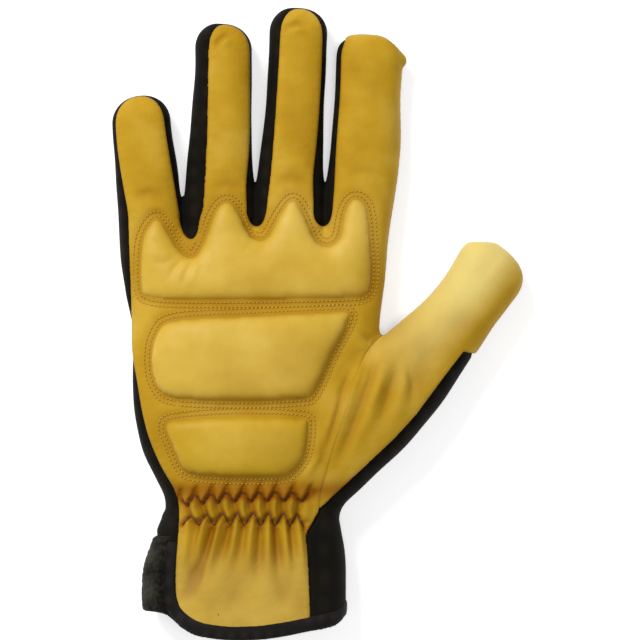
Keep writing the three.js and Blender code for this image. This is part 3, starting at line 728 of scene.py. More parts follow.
# %% [markdown]
# Below the side seam everything is the fabric of the back, so a panel above it is also cut at
# that height. The hem runs in a curve that is lowest in the middle of the cuff.

# %% Hem and sides of the panels
hem_line = rounded_line(spots(
    (125, 600), (140, 605), (155, 610), (165, 612), (172, 616), (186, 627.5), (204, 634.5),
    (240, 637.5), (272, 635.5), (305, 629.5), (322, 627), (334, 624), (341, 619.5), (346, 614),
    (360, 606),
), closed=False)
binding_line = rounded_line(spots(
    (172, 541), (170.5, 556), (169.5, 575), (170, 590), (173, 602), (179.5, 612.5), (190, 621),
    (203, 626.5), (220, 629.5), (240, 630.5), (262, 629.5), (284, 626.5), (305, 622.5),
    (322, 619.5), (334, 617),
), closed=False)
inside_binding = np.concatenate([binding_line, spots((420, 608), (420, -20), (60, -20), (60, 541))])
seam_round, seam_raise = 2.5, 3.5


def hem_height(x):
    return np.interp(x, *hem_line.T)


def above_seam(points, plan_side):
    """The seam runs higher along the palm's edge below the little finger."""
    at_edge, at_palm = (-20 - points[:, 0]) / 10, (80 - points[:, 1]) / 15
    raised = seam_raise * np.clip(at_edge, 0, 1) * np.clip(at_palm, 0, 1)
    return smooth_max(plan_side, seam_height + raised - points[:, 2], seam_round)


def leather_sides(points):
    """For both hides, the distance to their edge, negative inside, and the place along it."""
    plan_hide, hide_run = line_distance(points, hide_line)
    plan_hide = np.maximum(plan_hide, line_distance(points, inside_binding)[0])
    plan_thumb, thumb_run = line_distance(points, thumb_line)
    return above_seam(points, plan_hide), hide_run, above_seam(points, plan_thumb), thumb_run


middle_side = leather_sides(middle_of_palm + (0.0, 0.0, 30.0))[0][0]
print(f"the palm's hide covers the middle of the palm: {middle_side < 0}")

# %% [markdown]
# The skin is trimmed at the hem first, as a cutter trims a cuff. Then it is made finer along the
# seams and at the wrist, where the small folds are, and each point learns how far it is from them.

# %% Trim and refine
skin = clip(skin, hem_height(skin["points"][:, 0]) - skin["points"][:, 1])
del skin["side"]
side_hide, _, side_thumb, _ = leather_sides(skin["points"])
near_seam, gathers_middle, gathers_reach = 1.2, -3.0, 15.0
seams = (np.abs(side_hide) < near_seam) | (np.abs(side_thumb) < near_seam)
gathered = (side_hide < near_seam) & (np.abs(skin["points"][:, 1] - gathers_middle) < gathers_reach)
skin = refine(skin, seams | gathered)
at = skin["points"]
side_hide, hide_run, side_thumb, thumb_run = leather_sides(at)
side_walls = [above_seam(at, line_distance(at, line)[0]) for line in wall_lines]
leathers = np.minimum(side_hide, side_thumb)
print(f"hide covers {np.mean(side_hide < 0):.0%} of the skin's points")
print(f"the thumb's hide covers {np.mean(side_thumb < 0):.0%} of them")

# %% [markdown]
# ## Relief: folds, gathers and seams
#
# Hide folds where the hand closes and puckers where thread pulls it. Cloth simulation would give
# folds somewhere, but not where this glove has them, so each fold is a soft stroke: a line in the
# plan with a width and a height in millimetres that fades at its ends.


# %% Strokes
def stroke(points, line, width, height, fade):
    """Height over a line. Width and fade are one number, or two for the line's start and end."""
    distance, where = line_distance(points, line, closed=False)
    share = np.clip(where / np.hypot(*np.diff(line, axis=0).T).sum(), 0, 1)
    (first, last), (fade_in, fade_out) = np.broadcast_to(width, 2), np.broadcast_to(fade, 2)
    ends = np.clip(np.minimum(share / fade_in, (1 - share) / fade_out), 0, 1)
    beyond = np.exp(-((distance / (first + (last - first) * share)) ** 2))
    return height * beyond * np.sin(np.pi / 2 * ends) ** 2


# %% [markdown]
# No hide is quite even. Eight plane waves in random directions make soft, aimless hollows, and
# unlike a noise texture they move the real surface.

# %% Undulation
rng = np.random.default_rng(7)
wave_ways = rng.normal(size=(24, 3))
wave_ways /= np.linalg.norm(wave_ways, axis=1)[:, None]
wave_starts = rng.uniform(0, 2 * np.pi, 24)


def undulation(points, size, first=0):
    """Waves of about the given length in millimetres, between about -1 and 1."""
    ways, starts = wave_ways[first : first + 8], wave_starts[first : first + 8]
    return np.sin(points @ ways.T * 2 * np.pi / size + starts).mean(1) * 1.6


# %% [markdown]
# The wrist is shirred: elastic behind the hide pulls it together, held by two rows of zigzag
# thread. Between the rows the hide puffs up in diamonds, and below them it falls in flutes.

# %% Gathers of the wrist
upper_peaks = [
    (180, 497), (195, 494), (211, 493), (226, 491.5), (243, 491), (259, 491), (275, 490.5),
    (292, 491), (309, 492),
]
upper_valleys = [
    (188, 505), (203, 503), (218.5, 502), (234.5, 501), (251, 501), (267, 500.5), (283.5, 500.5),
    (300.5, 501),
]
lower_peaks = [
    (191, 515), (207, 513), (223, 512), (238, 511.5), (254, 511.5), (269, 511.5), (284, 512),
    (297, 513),
]
lower_valleys = [
    (183, 524), (200, 524), (215, 524), (231, 523.5), (245, 523.5), (261, 524), (275, 524.5),
    (290, 525), (304, 526),
]


def zigzag(first, second):
    """A line that goes to and fro between two rows of places."""
    line = []
    for pair in zip(first, second):
        line += pair
    return spots(*line, *first[len(second):])


upper_zigzag = zigzag(upper_peaks, upper_valleys)
lower_zigzag = zigzag(lower_valleys, lower_peaks)
gather_strokes = []
for (x, y), (x2, y2) in zip(upper_peaks[1:-1], lower_valleys[1:-1]):
    diamond = spots((x, y + 3), ((x + x2) / 2 - 1, 508), (x2, y2 - 3))
    gather_strokes.append((diamond, 1.7, 2.6, 0.25))
for (x, y), (x2, y2) in zip(upper_valleys, lower_peaks):
    gather_strokes.append((spots((x, y), (x2, y2)), 1.0, -1.0, 0.4))
for x, y in upper_valleys:
    pucker = spots((x, y - 2), (x + 1.5, y - 8), (x + 6, y - 17))
    gather_strokes.append((pucker, (1.3, 1.9), 1.5, (0.15, 0.6)))
for x, y in upper_peaks:
    pucker = spots((x, y - 1), (x + 2, y - 7), (x + 5, y - 13))
    gather_strokes.append((pucker, 1.0, -0.9, (0.15, 0.6)))
flute_ends = [
    ((188, 545), (184, 588)), ((200, 540), (192, 575)), ((213, 545), (198, 602)),
    ((233, 545), (221, 582)), ((250, 540), (245, 586)), ((268, 545), (268, 592)),
    ((286, 545), (290, 588)), ((300, 545), (304, 590)),
]
for (x, y), (middle, end) in zip(lower_peaks, flute_ends):
    gather_strokes.append((spots((x, y + 2), middle, end), (1.5, 3.4), 2.4, (0.08, 0.65)))
hollow_ends = [
    ((194, 550), (187, 585), -1.035), ((206, 556), (187, 596), -2.53),
    ((225, 550), (216, 574), -1.84), ((243, 548), (238, 576), -1.265),
    ((260, 555), (258, 596), -1.725), ((279, 555), (282, 598), -2.185),
    ((294, 550), (298, 582), -1.38), ((308, 545), (309, 570), -0.92),
]
for (x, y), (middle, end, depth) in zip(lower_valleys[1:], hollow_ends):
    gather_strokes.append((spots((x, y), middle, end), (1.2, 2.8), depth, (0.06, 0.75)))
print(f"{len(gather_strokes)} strokes gather the wrist")

# %% [markdown]
# The other strokes are the folds that this glove shows: creases at the fingers' roots and tips,
# the radial puckers beside the little finger, and the soft folds round the ball of the thumb.

# %% Folds of the hide
fold_strokes = [
    (spots((308, 496), (306, 508), (303, 523)), 2.1, 1.1, 0.3),
    (spots((206, 556), (192, 588), (181, 606)), 2.6, -2.0, 0.4),
    (spots((228, 556), (212, 590), (200, 616)), 4.0, 1.3, 0.5),
    (spots((246, 570), (236, 598), (228, 618)), 3.4, -0.9, 0.5),
    (spots((266, 560), (266, 590), (266, 616)), 4.5, 0.8, 0.5),
    (spots((283, 570), (286, 596), (288, 612)), 2.8, -0.9, 0.5),
    (spots((131, 198), (150, 193), (171, 199)), 1.8, -0.7, 0.4),
    (spots((133, 207), (152, 206), (176, 214)), 1.6, 0.4, 0.5),
    (spots((140, 220), (158, 214), (176, 222)), 1.3, -0.45, 0.5),
    (spots((208, 190), (228, 185), (246, 191)), 2.2, -0.7, 0.4),
    (spots((206, 172), (226, 168), (247, 172)), 2.4, 0.4, 0.5),
    (spots((274, 184), (292, 179), (313, 185)), 2.2, -0.7, 0.4),
    (spots((274, 166), (294, 163), (315, 167)), 2.4, 0.35, 0.5),
    (spots((338, 178), (360, 172), (392, 178)), 2.0, -0.45, 0.5),
    (spots((340, 162), (362, 158), (394, 162)), 2.4, 0.35, 0.5),
    (spots((217, 54), (218, 43), (225, 36), (237, 38)), 1.2, -1.0, 0.4),
    (spots((223, 50), (226, 43), (234, 44)), 1.5, 0.6, 0.5),
    (spots((285, 36), (288, 28), (298, 24), (312, 29)), 1.2, -0.95, 0.4),
    (spots((291, 34), (300, 31), (308, 34)), 1.4, 0.5, 0.5),
    (spots((290, 19), (300, 16), (312, 21)), 1.6, 0.4, 0.5),
    (spots((390, 345), (380, 380), (366, 420), (340, 470)), (2.4, 3.8), 1.3, (0.25, 0.5)),
    (spots((378, 350), (368, 385), (352, 430), (328, 482)), (1.3, 2.4), -1.3, (0.25, 0.4)),
    (spots((366, 352), (354, 385), (340, 425), (322, 470)), (1.4, 2.8), 1.4, (0.25, 0.5)),
    (
        spots((353, 362), (342, 392), (333, 425), (320, 458), (309, 484)),
        (1.3, 2.6), -1.3, (0.3, 0.4),
    ),
    (spots((343, 385), (333, 415), (324, 445), (314, 478)), (1.2, 2.2), 1.0, (0.3, 0.5)),
    (spots((398, 352), (393, 378), (384, 408), (372, 436)), (1.4, 3.0), -1.1, (0.4, 0.5)),
    (spots((407, 354), (405, 378), (398, 406), (388, 430)), (1.8, 3.4), 1.0, (0.4, 0.5)),
    (spots((404, 358), (411, 384), (409, 412)), (1.1, 2.2), -0.7, (0.4, 0.5)),
    (spots((384, 366), (378, 388), (370, 410)), 1.5, 0.7, 0.5),
    (spots((432, 322), (430, 348), (420, 380), (404, 412)), 4.2, -0.9, 0.45),
    (spots((316, 430), (318, 456), (303, 480)), 1.5, 0.7, 0.4),
    (spots((322, 486), (312, 494), (306, 506)), 1.5, -0.8, 0.5),
    (spots((356, 330), (370, 340), (384, 346)), 1.4, -0.7, 0.5),
    (spots((350, 341), (362, 348), (374, 354)), 1.4, 0.6, 0.5),
    (spots((390, 320), (400, 330), (418, 330)), 2.0, -0.3, 0.5),
    (spots((444, 342), (458, 327), (476, 304)), 5.5, -1.0, 0.5),
    (spots((397, 80), (397, 125), (392, 175)), 3.5, -0.5, 0.4),
]
pad_fold_strokes = [
    (spots((146, 238), (160, 244), (178, 250)), 1.2, -0.27, 0.4),
    (spots((146, 252), (162, 256), (180, 255)), 1.2, 0.21, 0.4),
    (spots((150, 262), (164, 264), (178, 260)), 1.2, -0.27, 0.4),
    (spots((169, 286), (176, 270), (188, 258)), 1.2, -0.36, 0.4),
    (spots((176, 292), (182, 276), (191, 261)), 1.2, 0.3, 0.4),
    (spots((184, 292), (188, 275), (196, 261)), 1.2, -0.3, 0.4),
    (spots((193, 290), (196, 273), (201, 261)), 1.3, 0.24, 0.4),
    (spots((243, 254), (250, 246), (262, 244)), 1.2, -0.21, 0.5),
    (spots((241, 262), (250, 254), (264, 252)), 1.4, 0.18, 0.5),
    (spots((308, 246), (318, 249), (332, 247)), 1.2, -0.18, 0.5),
]
print(f"{len(fold_strokes)} folds in the hide and {len(pad_fold_strokes)} on the pads")

# %% [markdown]
# ## The gel pads' outlines
#
# The pads are foam or gel under covers that are stitched down all round. Two rows of thread run
# in a shallow channel round each pad.

# %% Pad outlines
def shares(*places):
    return np.array([(a * palm_width, b * palm_length) for a, b in places])


pad_lines = {
    "knuckles": rounded_line(shares(
        (-0.408, 0.764), (-0.439, 0.789), (-0.443, 0.887), (-0.429, 0.978), (-0.38, 1.038),
        (-0.336, 0.996), (-0.287, 0.929), (-0.234, 0.901), (-0.194, 0.947), (-0.141, 1.062),
        (-0.093, 1.097), (-0.049, 1.059), (-0.008, 0.982), (0.028, 0.964), (0.069, 0.975),
        (0.121, 1.055), (0.17, 1.103), (0.214, 1.055), (0.259, 0.964), (0.311, 0.943),
        (0.356, 0.971), (0.38, 1.066), (0.42, 1.108), (0.465, 1.076), (0.479, 0.964),
        (0.481, 0.817), (0.453, 0.771), (0.36, 0.761), (0.016, 0.754), (-0.307, 0.754),
    )),
    "palm": rounded_line(shares(
        (-0.3, 0.413), (-0.375, 0.455), (-0.398, 0.54), (-0.375, 0.635), (-0.3, 0.683),
        (0, 0.698), (0.3, 0.71), (0.385, 0.712), (0.39, 0.68), (0.32, 0.56), (0.25, 0.43),
        (0.2, 0.413), (0, 0.405),
    )),
    "heel": rounded_line(shares(
        (-0.24, 0.152), (-0.28, 0.18), (-0.32, 0.26), (-0.34, 0.31), (-0.3, 0.335),
        (-0.06, 0.35), (0.2, 0.343), (0.23, 0.32), (0.215, 0.22), (0.16, 0.155), (0.1, 0.141),
        (-0.1, 0.141),
    )),
}
for name, line in pad_lines.items():
    print(f"the {name} pad is {np.ptp(line[:, 0]):.0f} mm wide, {np.ptp(line[:, 1]):.0f} mm long")

# %% [markdown]
# All relief adds up in one function, with a second value for how much painted shade a point gets:
# in folds, round the pads, beside the zigzag threads and in a band along the top of the gathers.
# The hide's colour is darkened towards brown by that value. The relief never goes so deep that the
# lining would show through.

# %% Relief
channel_from_pad, channel_width, channel_depth = 2.0, 2.2, 0.65
thread_groove, deepest = 1.5, -1.9
# Painted shade: how much folds, the zigzag threads, the pads' channels and a band darken the hide.
thread_shade, crease_shade, pad_edge_shade, band_shade = ((0.6, 0.9), (0.35, 2.6)), 0.3, 0.25, 0.7
band_place, band_width = 10.5, 4.0


def bell(distance, width):
    return np.exp(-((distance / width) ** 2))


def relief(points):
    """Height of the hide's relief over the smooth skin, and the painted shade at each point."""
    total = 0.22 * undulation(points, 26) + 0.08 * undulation(points, 9, 8)
    dark = np.zeros(len(points))
    for line, width, height, fade in gather_strokes + fold_strokes:
        margin = 3 * np.max(width)
        low, high = line.min(0) - margin, line.max(0) + margin
        near = np.all((points[:, :2] > low) & (points[:, :2] < high), axis=1)
        added = stroke(points[near], line, width, height, fade)
        total[near] += added
        # Painted shade: the hollow strokes also darken the colour.
        if height < 0:
            dark[near] -= crease_shade * added
    for line in (upper_zigzag, lower_zigzag):
        near = np.abs(points[:, 1] - line[:, 1].mean()) < 10
        distance = line_distance(points[near], line, closed=False)[0]
        total[near] -= thread_groove * bell(distance, 1.0)
        # Painted shade beside the zigzag threads.
        dark[near] += sum(share * bell(distance, width) for share, width in thread_shade)
    for line in pad_lines.values():
        distance = line_distance(points, line)[0]
        total -= channel_depth * bell(distance - channel_from_pad, channel_width)
        # Painted shade round the pads' outlines, in their channels.
        dark += pad_edge_shade * bell(distance, 3.0)
    # Painted shade in a band along the top of the gathers.
    dark += band_shade * bell(points[:, 1] - band_place, band_width)
    return smooth_max(total, np.full(len(points), deepest), 1.0), np.clip(dark, 0, 1)


print(f"relief at the middle of the palm: {relief(middle_of_palm)[0][0]:.2f} mm")


# %% [markdown]
# ## Materials
#
# One helper adds a node with its settings and links. Colours are written as sRGB hex values, as a
# picture editor shows them, and turned to the linear values that the shader expects.


# %% Material helpers
def linear(hex_value):
    """The linear colour of an sRGB hex value."""
    shown = [int(hex_value[i : i + 2], 16) / 255 for i in (1, 3, 5)]
    return (*(c / 12.92 if c <= 0.04045 else ((c + 0.055) / 1.055) ** 2.4 for c in shown), 1.0)


def add(tree, kind, settings=None, links=None):
    """A node with settings, by property name or by socket, and links into its sockets."""
    node = tree.nodes.new(kind)
    for key, value in (settings or {}).items():
        if isinstance(key, str) and hasattr(node, key):
            setattr(node, key, value)
        else:
            node.inputs[key].default_value = value
    for key, source in (links or {}).items():
        tree.links.new(source, node.inputs[key])
    return node


def new_material(name):
    """A material with its node tree, its shader and the object's own coordinates."""
    material = bpy.data.materials.new(name)
    material.use_nodes = True
    tree = material.node_tree
    tree.nodes.clear()
    shader = add(tree, "ShaderNodeBsdfPrincipled")
    add(tree, "ShaderNodeOutputMaterial", {}, {"Surface": shader.outputs["BSDF"]})
    place = add(tree, "ShaderNodeTexCoord").outputs["Object"]
    return material, tree, shader, place


def ramp(tree, factor, stops):
    node = add(tree, "ShaderNodeValToRGB", {}, {"Fac": factor})
    elements = node.color_ramp.elements
    while len(elements) < len(stops):
        elements.new(0.5)
    for element, (position, colour) in zip(elements, stops):
        element.position, element.color = position, linear(colour)
    return node.outputs["Color"]


# %% [markdown]
# ** Goat hide.** Drum-dyed grain leather is dense, slightly waxy and finely pebbled. The dye takes
# unevenly, so broad patches drift between straw and amber. The colour is mixed towards brown as
# painted shade in folds, at the panels' edges, round the pads and beside the wrist's threads. The
# pebbles of real goat grain are about 0.7 mm wide, and are drawn 1.1 mm wide so that they show.
# Drawn over gel the hide is smoother and shinier, and paler partly by itself and partly as painted
# highlight. Over the heel the pad's hide is drawn darker, as painted shade.


# %% Goat hide
pebble_size, crease_size, cloud_scale = 0.0011, 0.0035, 38.0
# Painted shade mixes the colour towards the brown; the pale tint is painted highlight on the thumb.
painted_shade_colour, pale_colour = linear("#8C5404"), linear("#E6D180")


def goat_hide(name, tones, drawn_tight=False):
    material, tree, shader, place = new_material(name)
    broad = add(
        tree, "ShaderNodeTexNoise", {"Scale": cloud_scale, "Detail": 3.0, "Roughness": 0.55},
        {"Vector": place},
    )
    colour = ramp(tree, broad.outputs["Fac"], tones)
    # The fold attribute is painted shade: folds, panel edges, pad borders, pad feet and the wrist's
    # threads.
    fold = add(tree, "ShaderNodeAttribute", {"attribute_name": "fold"}).outputs["Fac"]
    deep = add(
        tree, "ShaderNodeMix", {"data_type": "RGBA", 7: painted_shade_colour}, {"Factor": fold, 6: colour}
    ).outputs[2]
    # The pale attribute mixes in a pale tint: painted highlight on the thumb, and a paler cuff.
    pale = add(tree, "ShaderNodeAttribute", {"attribute_name": "pale"}).outputs["Fac"]
    pale_and_highlight = add(
        tree, "ShaderNodeMix", {"data_type": "RGBA", 7: pale_colour}, {"Factor": pale, 6: deep}
    ).outputs[2]
    tree.links.new(pale_and_highlight, shader.inputs["Base Color"])
    pebbles = add(
        tree, "ShaderNodeTexVoronoi", {"feature": "SMOOTH_F1", "Scale": 1 / pebble_size},
        {"Vector": place},
    )
    creases = add(
        tree, "ShaderNodeTexNoise", {"Scale": 1 / crease_size, "Detail": 5.0, "Distortion": 0.8},
        {"Vector": place},
    )
    soft = add(
        tree, "ShaderNodeBump", {"Strength": 0.12 if drawn_tight else 0.25, "Distance": 0.0006},
        {"Height": creases.outputs["Fac"]},
    )
    grain = add(
        tree, "ShaderNodeBump", {"Strength": 0.1 if drawn_tight else 0.2, "Distance": 0.0003},
        {"Height": pebbles.outputs["Distance"], "Normal": soft.outputs["Normal"]},
    )
    tree.links.new(grain.outputs["Normal"], shader.inputs["Normal"])
    polish = add(
        tree, "ShaderNodeMapRange", {"To Min": 0.38 if drawn_tight else 0.48, "To Max": 0.6},
        {"Value": creases.outputs["Fac"]},
    )
    tree.links.new(polish.outputs["Result"], shader.inputs["Roughness"])
    shader.inputs["IOR"].default_value = 1.5
    shader.inputs["Specular IOR Level"].default_value = 0.22 if drawn_tight else 0.06
    return material


hide_material = goat_hide(
    "drum_dyed_goat_hide", [(0.3, "#AB8116"), (0.52, "#BA9222"), (0.74, "#C9A43C")]
)
# The pads' paler tones are partly the hide's own and partly painted highlight.
pad_material = goat_hide(
    "goat_hide_drawn_over_gel", [(0.3, "#BE9728"), (0.52, "#CBA638"), (0.74, "#D7B44E")], True
)
# A darker copy of the pad hide for the heel pad: painted shade.
heel_shaded_hide = goat_hide(
    "goat_hide_over_heel_gel_painted_shade", [(0.3, "#B48E16"), (0.52, "#C19A1E"), (0.74, "#CDA932")], True
)


# %% [markdown]
# **Stretch knit.** The back is a dense black knit of polyamide and elastane. Its loops are about
# half a millimetre, too fine to show here, so they are drawn 0.9 mm wide. Loose fibre ends catch
# the light at grazing angles, which the sheen gives. The cuff's knit is padded, so its loops are
# coarser and its face is softer. The binding is a woven tape, smoother and a little greyer than the
# knit. The loop tape is brushed: light gets lost between its fibres, and only their ends show grey.


# %% Fabrics
loop_length = 1.4


def black_fabric(name, colours, loop, sheen, roughness, depth, cloud_size=0.017):
    material, tree, shader, place = new_material(name)
    across, up = (
        add(
            tree, "ShaderNodeTexWave",
            {"bands_direction": way, "Scale": 0.05 / size, "Distortion": 0.6}, {"Vector": place},
        ).outputs["Fac"]
        for way, size in (("X", loop), ("Y", loop * loop_length))
    )
    loops = add(tree, "ShaderNodeMath", {"operation": "MULTIPLY"}, {0: across, 1: up})
    cloud = add(
        tree, "ShaderNodeTexNoise", {"Scale": 1 / cloud_size, "Detail": 4.0}, {"Vector": place}
    )
    shade = add(
        tree, "ShaderNodeMath", {"operation": "MULTIPLY_ADD", 1: 0.45},
        {0: loops.outputs[0], 2: cloud.outputs["Fac"]},
    )
    colour = ramp(tree, shade.outputs[0], [(0.35, colours[0]), (0.95, colours[1])])
    tree.links.new(colour, shader.inputs["Base Color"])
    bump = add(
        tree, "ShaderNodeBump", {"Strength": 0.6, "Distance": depth}, {"Height": loops.outputs[0]}
    )
    tree.links.new(bump.outputs["Normal"], shader.inputs["Normal"])
    shader.inputs["Roughness"].default_value = roughness
    shader.inputs["Sheen Weight"].default_value = sheen
    shader.inputs["Sheen Roughness"].default_value = 0.5
    shader.inputs["Specular IOR Level"].default_value = 0.12
    return material


knit_material, cuff_material, binding_material, loop_material = (
    black_fabric(*look)
    for look in (
        ("black_stretch_knit", ("#0B0804", "#19140B"), 0.0009, 0.01, 0.85, 0.0002),
        ("black_padded_knit", ("#0B0905", "#1A160C"), 0.0012, 0.01, 0.85, 0.0003),
        ("woven_binding_tape", ("#120F0E", "#221E1C"), 0.0008, 0.03, 0.7, 0.0002),
        ("brushed_loop_tape", ("#070705", "#343328"), 0.0016, 0.03, 0.95, 0.0008, 0.0016),
    )
)


# %% [markdown]
# **Threads.** The pads are sewn with gold polyester thread, whose tight twist glints in fine
# diagonal bands. The wrist's zigzag rows are a brown thread that stretches, duller because its
# fibres are crimped. A needle hole lies in shadow and shows no thread, so it is a dull brown.


# %% Threads
def thread_material(name, colour, roughness):
    material, tree, shader, place = new_material(name)
    twist = add(
        tree, "ShaderNodeTexWave", {"bands_direction": "DIAGONAL", "Scale": 90.0}, {"Vector": place}
    )
    bump = add(
        tree, "ShaderNodeBump", {"Strength": 0.5, "Distance": 0.00008},
        {"Height": twist.outputs["Fac"]},
    )
    tree.links.new(bump.outputs["Normal"], shader.inputs["Normal"])
    shader.inputs["Base Color"].default_value = linear(colour)
    shader.inputs["Roughness"].default_value = roughness
    return material


gold_thread = thread_material("gold_polyester_thread", "#C4982E", 0.5)
brown_thread = thread_material("brown_elastic_thread", "#55290E", 0.6)
hole_material = thread_material("needle_hole_shadow", "#70480C", 0.9)
print("materials:", ", ".join(made.name for made in bpy.data.materials))


# %% [markdown]
# ## Panels
#
# A panel is a part of the skin, raised a little where it lies on another and turned down at its
# edge, as a folded and sewn edge of hide is.


# %% Build a piece
def make_object(name, mesh, material, replaced=(), attributes=None):
    """A piece of the scene and in place of the CAD nodes that it replaces."""
    data = bpy.data.meshes.new(name)
    faces = mesh["faces"]
    data.vertices.add(len(mesh["points"]))
    data.vertices.foreach_set("co", ((mesh["points"] + to_frame) * MM).astype(np.float32).ravel())
    data.loops.add(faces.size)
    data.loops.foreach_set("vertex_index", faces.astype(np.int32).ravel())
    data.polygons.add(len(faces))
    sides = faces.shape[1]
    data.polygons.foreach_set("loop_start", np.arange(0, faces.size, sides, dtype=np.int32))
    data.update(calc_edges=True)
    data.validate()
    data.polygons.foreach_set("use_smooth", np.ones(len(data.polygons), bool))
    for key, values in (attributes or {}).items():
        store = data.attributes.new(key, "FLOAT", "POINT")
        store.data.foreach_set("value", values.astype(np.float32))
    data.materials.append(material)
    piece = bpy.data.objects.new(name, data)
    bpy.context.scene.collection.objects.link(piece)
    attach(piece, "root")
    if replaced:
        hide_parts(*replaced)
    print(f"{name}: {sum(len(p.vertices) - 2 for p in data.polygons)} triangles")
    return piece


def quarter_round(share):
    return np.sqrt(1 - (1 - share) ** 2)


# %% [markdown]
# The hide stands 0.6 mm proud, and its turned edge rolls down towards the fabric. The sewn edge
# puckers a little at about every second stitch. Along the thumb's seam both hides lie flush, the
# thumb's a little lower. A quarter round gives the edge the soft lip of folded hide, which a bevel
# wouldn't.

# %% Hide
hide_height, edge_reach, edge_below, seam_flush = 0.6, 1.5, -0.35, 2.5
pucker_depth, pucker_pitch, pucker_reach = 0.1, 3.4, 2.2


def hide_panel(name, side, run, replaced, pale, sink=0.0):
    """A panel of hide. It lies flush at the thumb's seam and sinks there by the given depth."""
    mesh = clip(dict(skin, run=run), side)
    depth = -mesh["side"]
    height, dark = relief(mesh["points"])
    wave = np.sin(2 * np.pi * mesh["run"] / pucker_pitch)
    pucker = pucker_depth * wave * np.exp(-depth / pucker_reach)
    light = pale(mesh["points"])
    flush = bell(line_distance(mesh["points"], thumb_seam, closed=False)[0], seam_flush)
    share = np.maximum(np.clip(depth / 2.0, 0.15, 1), flush)
    below = edge_below + 0.65 * flush
    rise = below + (hide_height - below) * quarter_round(np.clip(depth / edge_reach, 0, 1))
    rise += (height + pucker * (1 - flush)) * share - sink * flush
    mesh["points"] = mesh["points"] + mesh["normals"] * rise[:, None]
    # Painted shade where the hide's turned edge rolls down, weaker along the thumb's seam.
    dark = np.clip(dark + (0.4 - 0.3 * flush) * bell(depth, 0.8), 0, 1)
    looks = {"fold": dark, "pale": light}
    return make_object(name, mesh, hide_material, replaced, looks)


def pale_cuff(points):
    """The cuff's hide is drawn a little paler towards the hem."""
    return 0.17 * np.clip((-points[:, 1] - 10.0) / 14.0, 0, 1)


def thumb_painted_highlight(points):
    """Painted highlight: the thumb's side towards the palm is drawn paler towards its end."""
    along, across = along_and_across(thumb, points)
    return 0.8 * np.clip((along - 30.0) / 55.0, 0, 1) * np.clip((14.5 - across) / 10.0, 0, 1)


hide_panel("palm_hide", side_hide, hide_run, ["palm_leather"], pale_cuff)
hide_panel("thumb_hide", side_thumb, thumb_run, ["thumb_leather"], thumb_painted_highlight, 0.35)


# %% [markdown]
# The knitted panels are the rest of the skin. Each runs on 1.6 mm under the hide, as a seam
# allowance does, and is pressed down beside it. One bulge stands out at the little finger's side
# of the wrist, where the gathers push the fabric up.

# %% Fabric panels
wrist_bulge = spots((163, 506), (158, 520), (153, 538)), 4.5, 1.2, 0.3
waviness, pressed, press_reach = 0.25, 0.75, 1.3


def fabric_panel(name, side, material, replaced):
    """A knitted panel that is cut where side is negative and pressed down beside the hide."""
    mesh = clip(dict(skin, leathers=leathers), side)
    near = bell(np.clip(mesh["leathers"], 0, None), press_reach)
    height = waviness * undulation(mesh["points"], 22, 16) * (1 - near) - pressed * near
    height += stroke(mesh["points"], *wrist_bulge)
    mesh["points"] = mesh["points"] + mesh["normals"] * height[:, None]
    mesh["points"][:, 2] = np.maximum(mesh["points"][:, 2], 0.02)
    return make_object(name, mesh, material, replaced)


tucked = 1.6
hidden = -leathers - tucked
for wall_side, name in zip(side_walls, ("pinky_ring", "ring_middle", "middle_index")):
    cut = np.maximum(wall_side - tucked, hidden)
    fabric_panel(f"wall_{name}", cut, knit_material, [f"fourchette_{name}"])
in_walls = np.minimum.reduce(side_walls)
back_side = np.maximum.reduce([hidden, -in_walls, -at[:, 1]])
cuff_side = np.maximum(hidden, at[:, 1])
fabric_panel("back_knit", back_side, knit_material, ["back_panel"])
fabric_panel("cuff_back_knit", cuff_side, cuff_material, ["cuff_back"])

# %% [markdown]
# The lining is what one sees looking into the cuff. It is the same field, one wall further in,
# on a coarser grid.

# %% Lining
lining_step = 1.6
inner, inner_quads = net_through(
    grid_field(lining_step, low_corner, high_corner) + wall, lining_step, low_corner
)
inner_faces = np.concatenate([inner_quads[:, [0, 2, 1]], inner_quads[:, [0, 3, 2]]])
above_hem = 0.6
lining = clip(
    dict(points=inner, faces=inner_faces), hem_height(inner[:, 0]) + above_hem - inner[:, 1]
)
make_object("lining_knit", lining, cuff_material)


# %% [markdown]
# ## Gel pads
#
# A pad could be a voxel remesh blown up by cloth pressure. Its cover is drawn tight and has a
# crisp plan, so a crowned form is better: an even net of triangles fills the outline, and its
# height rises steeply from the edge and swells to the middle.


# %% Heights of the hide over the plan
def top_of_skin(xy):
    """The skin's upper points over places in the plan, found by halving."""
    low, high = np.full(len(xy), 9.0), np.full(len(xy), 34.0)
    for _ in range(22):
        z = (low + high) / 2
        outside = skin_distance(np.column_stack([xy, z])) > 0
        low, high = np.where(outside, low, z), np.where(outside, z, high)
    return np.column_stack([xy, (low + high) / 2])


def on_hide(xy, lift=0.0):
    """Points on the hide's outer face over places in the plan, with their normals."""
    base = top_of_skin(xy)
    normal = skin_normal(base)[0]
    return base + normal * (hide_height + relief(base)[0] + lift)[:, None], normal


# %% Swell
pad_step, membrane_rounds = 0.75, 400


def swell(depth, faces, reach):
    """A stretched membrane's height, with no ridges: 0 at the border, towards 1 far inside."""
    edges = np.concatenate([faces[:, [0, 1]], faces[:, [1, 2]], faces[:, [2, 0]]])
    start, end = np.unique(np.concatenate([edges, edges[:, ::-1]]), axis=0).T
    degree = np.bincount(start, minlength=len(depth))
    spread = 4 * (reach / pad_step) ** 2
    height = 1 - np.exp(-depth / reach)
    for _ in range(membrane_rounds):
        mean = np.bincount(start, height[end], len(depth)) / degree
        height = np.where(depth > 0.02, (1 + spread * mean) / (1 + spread), 0)
    return height


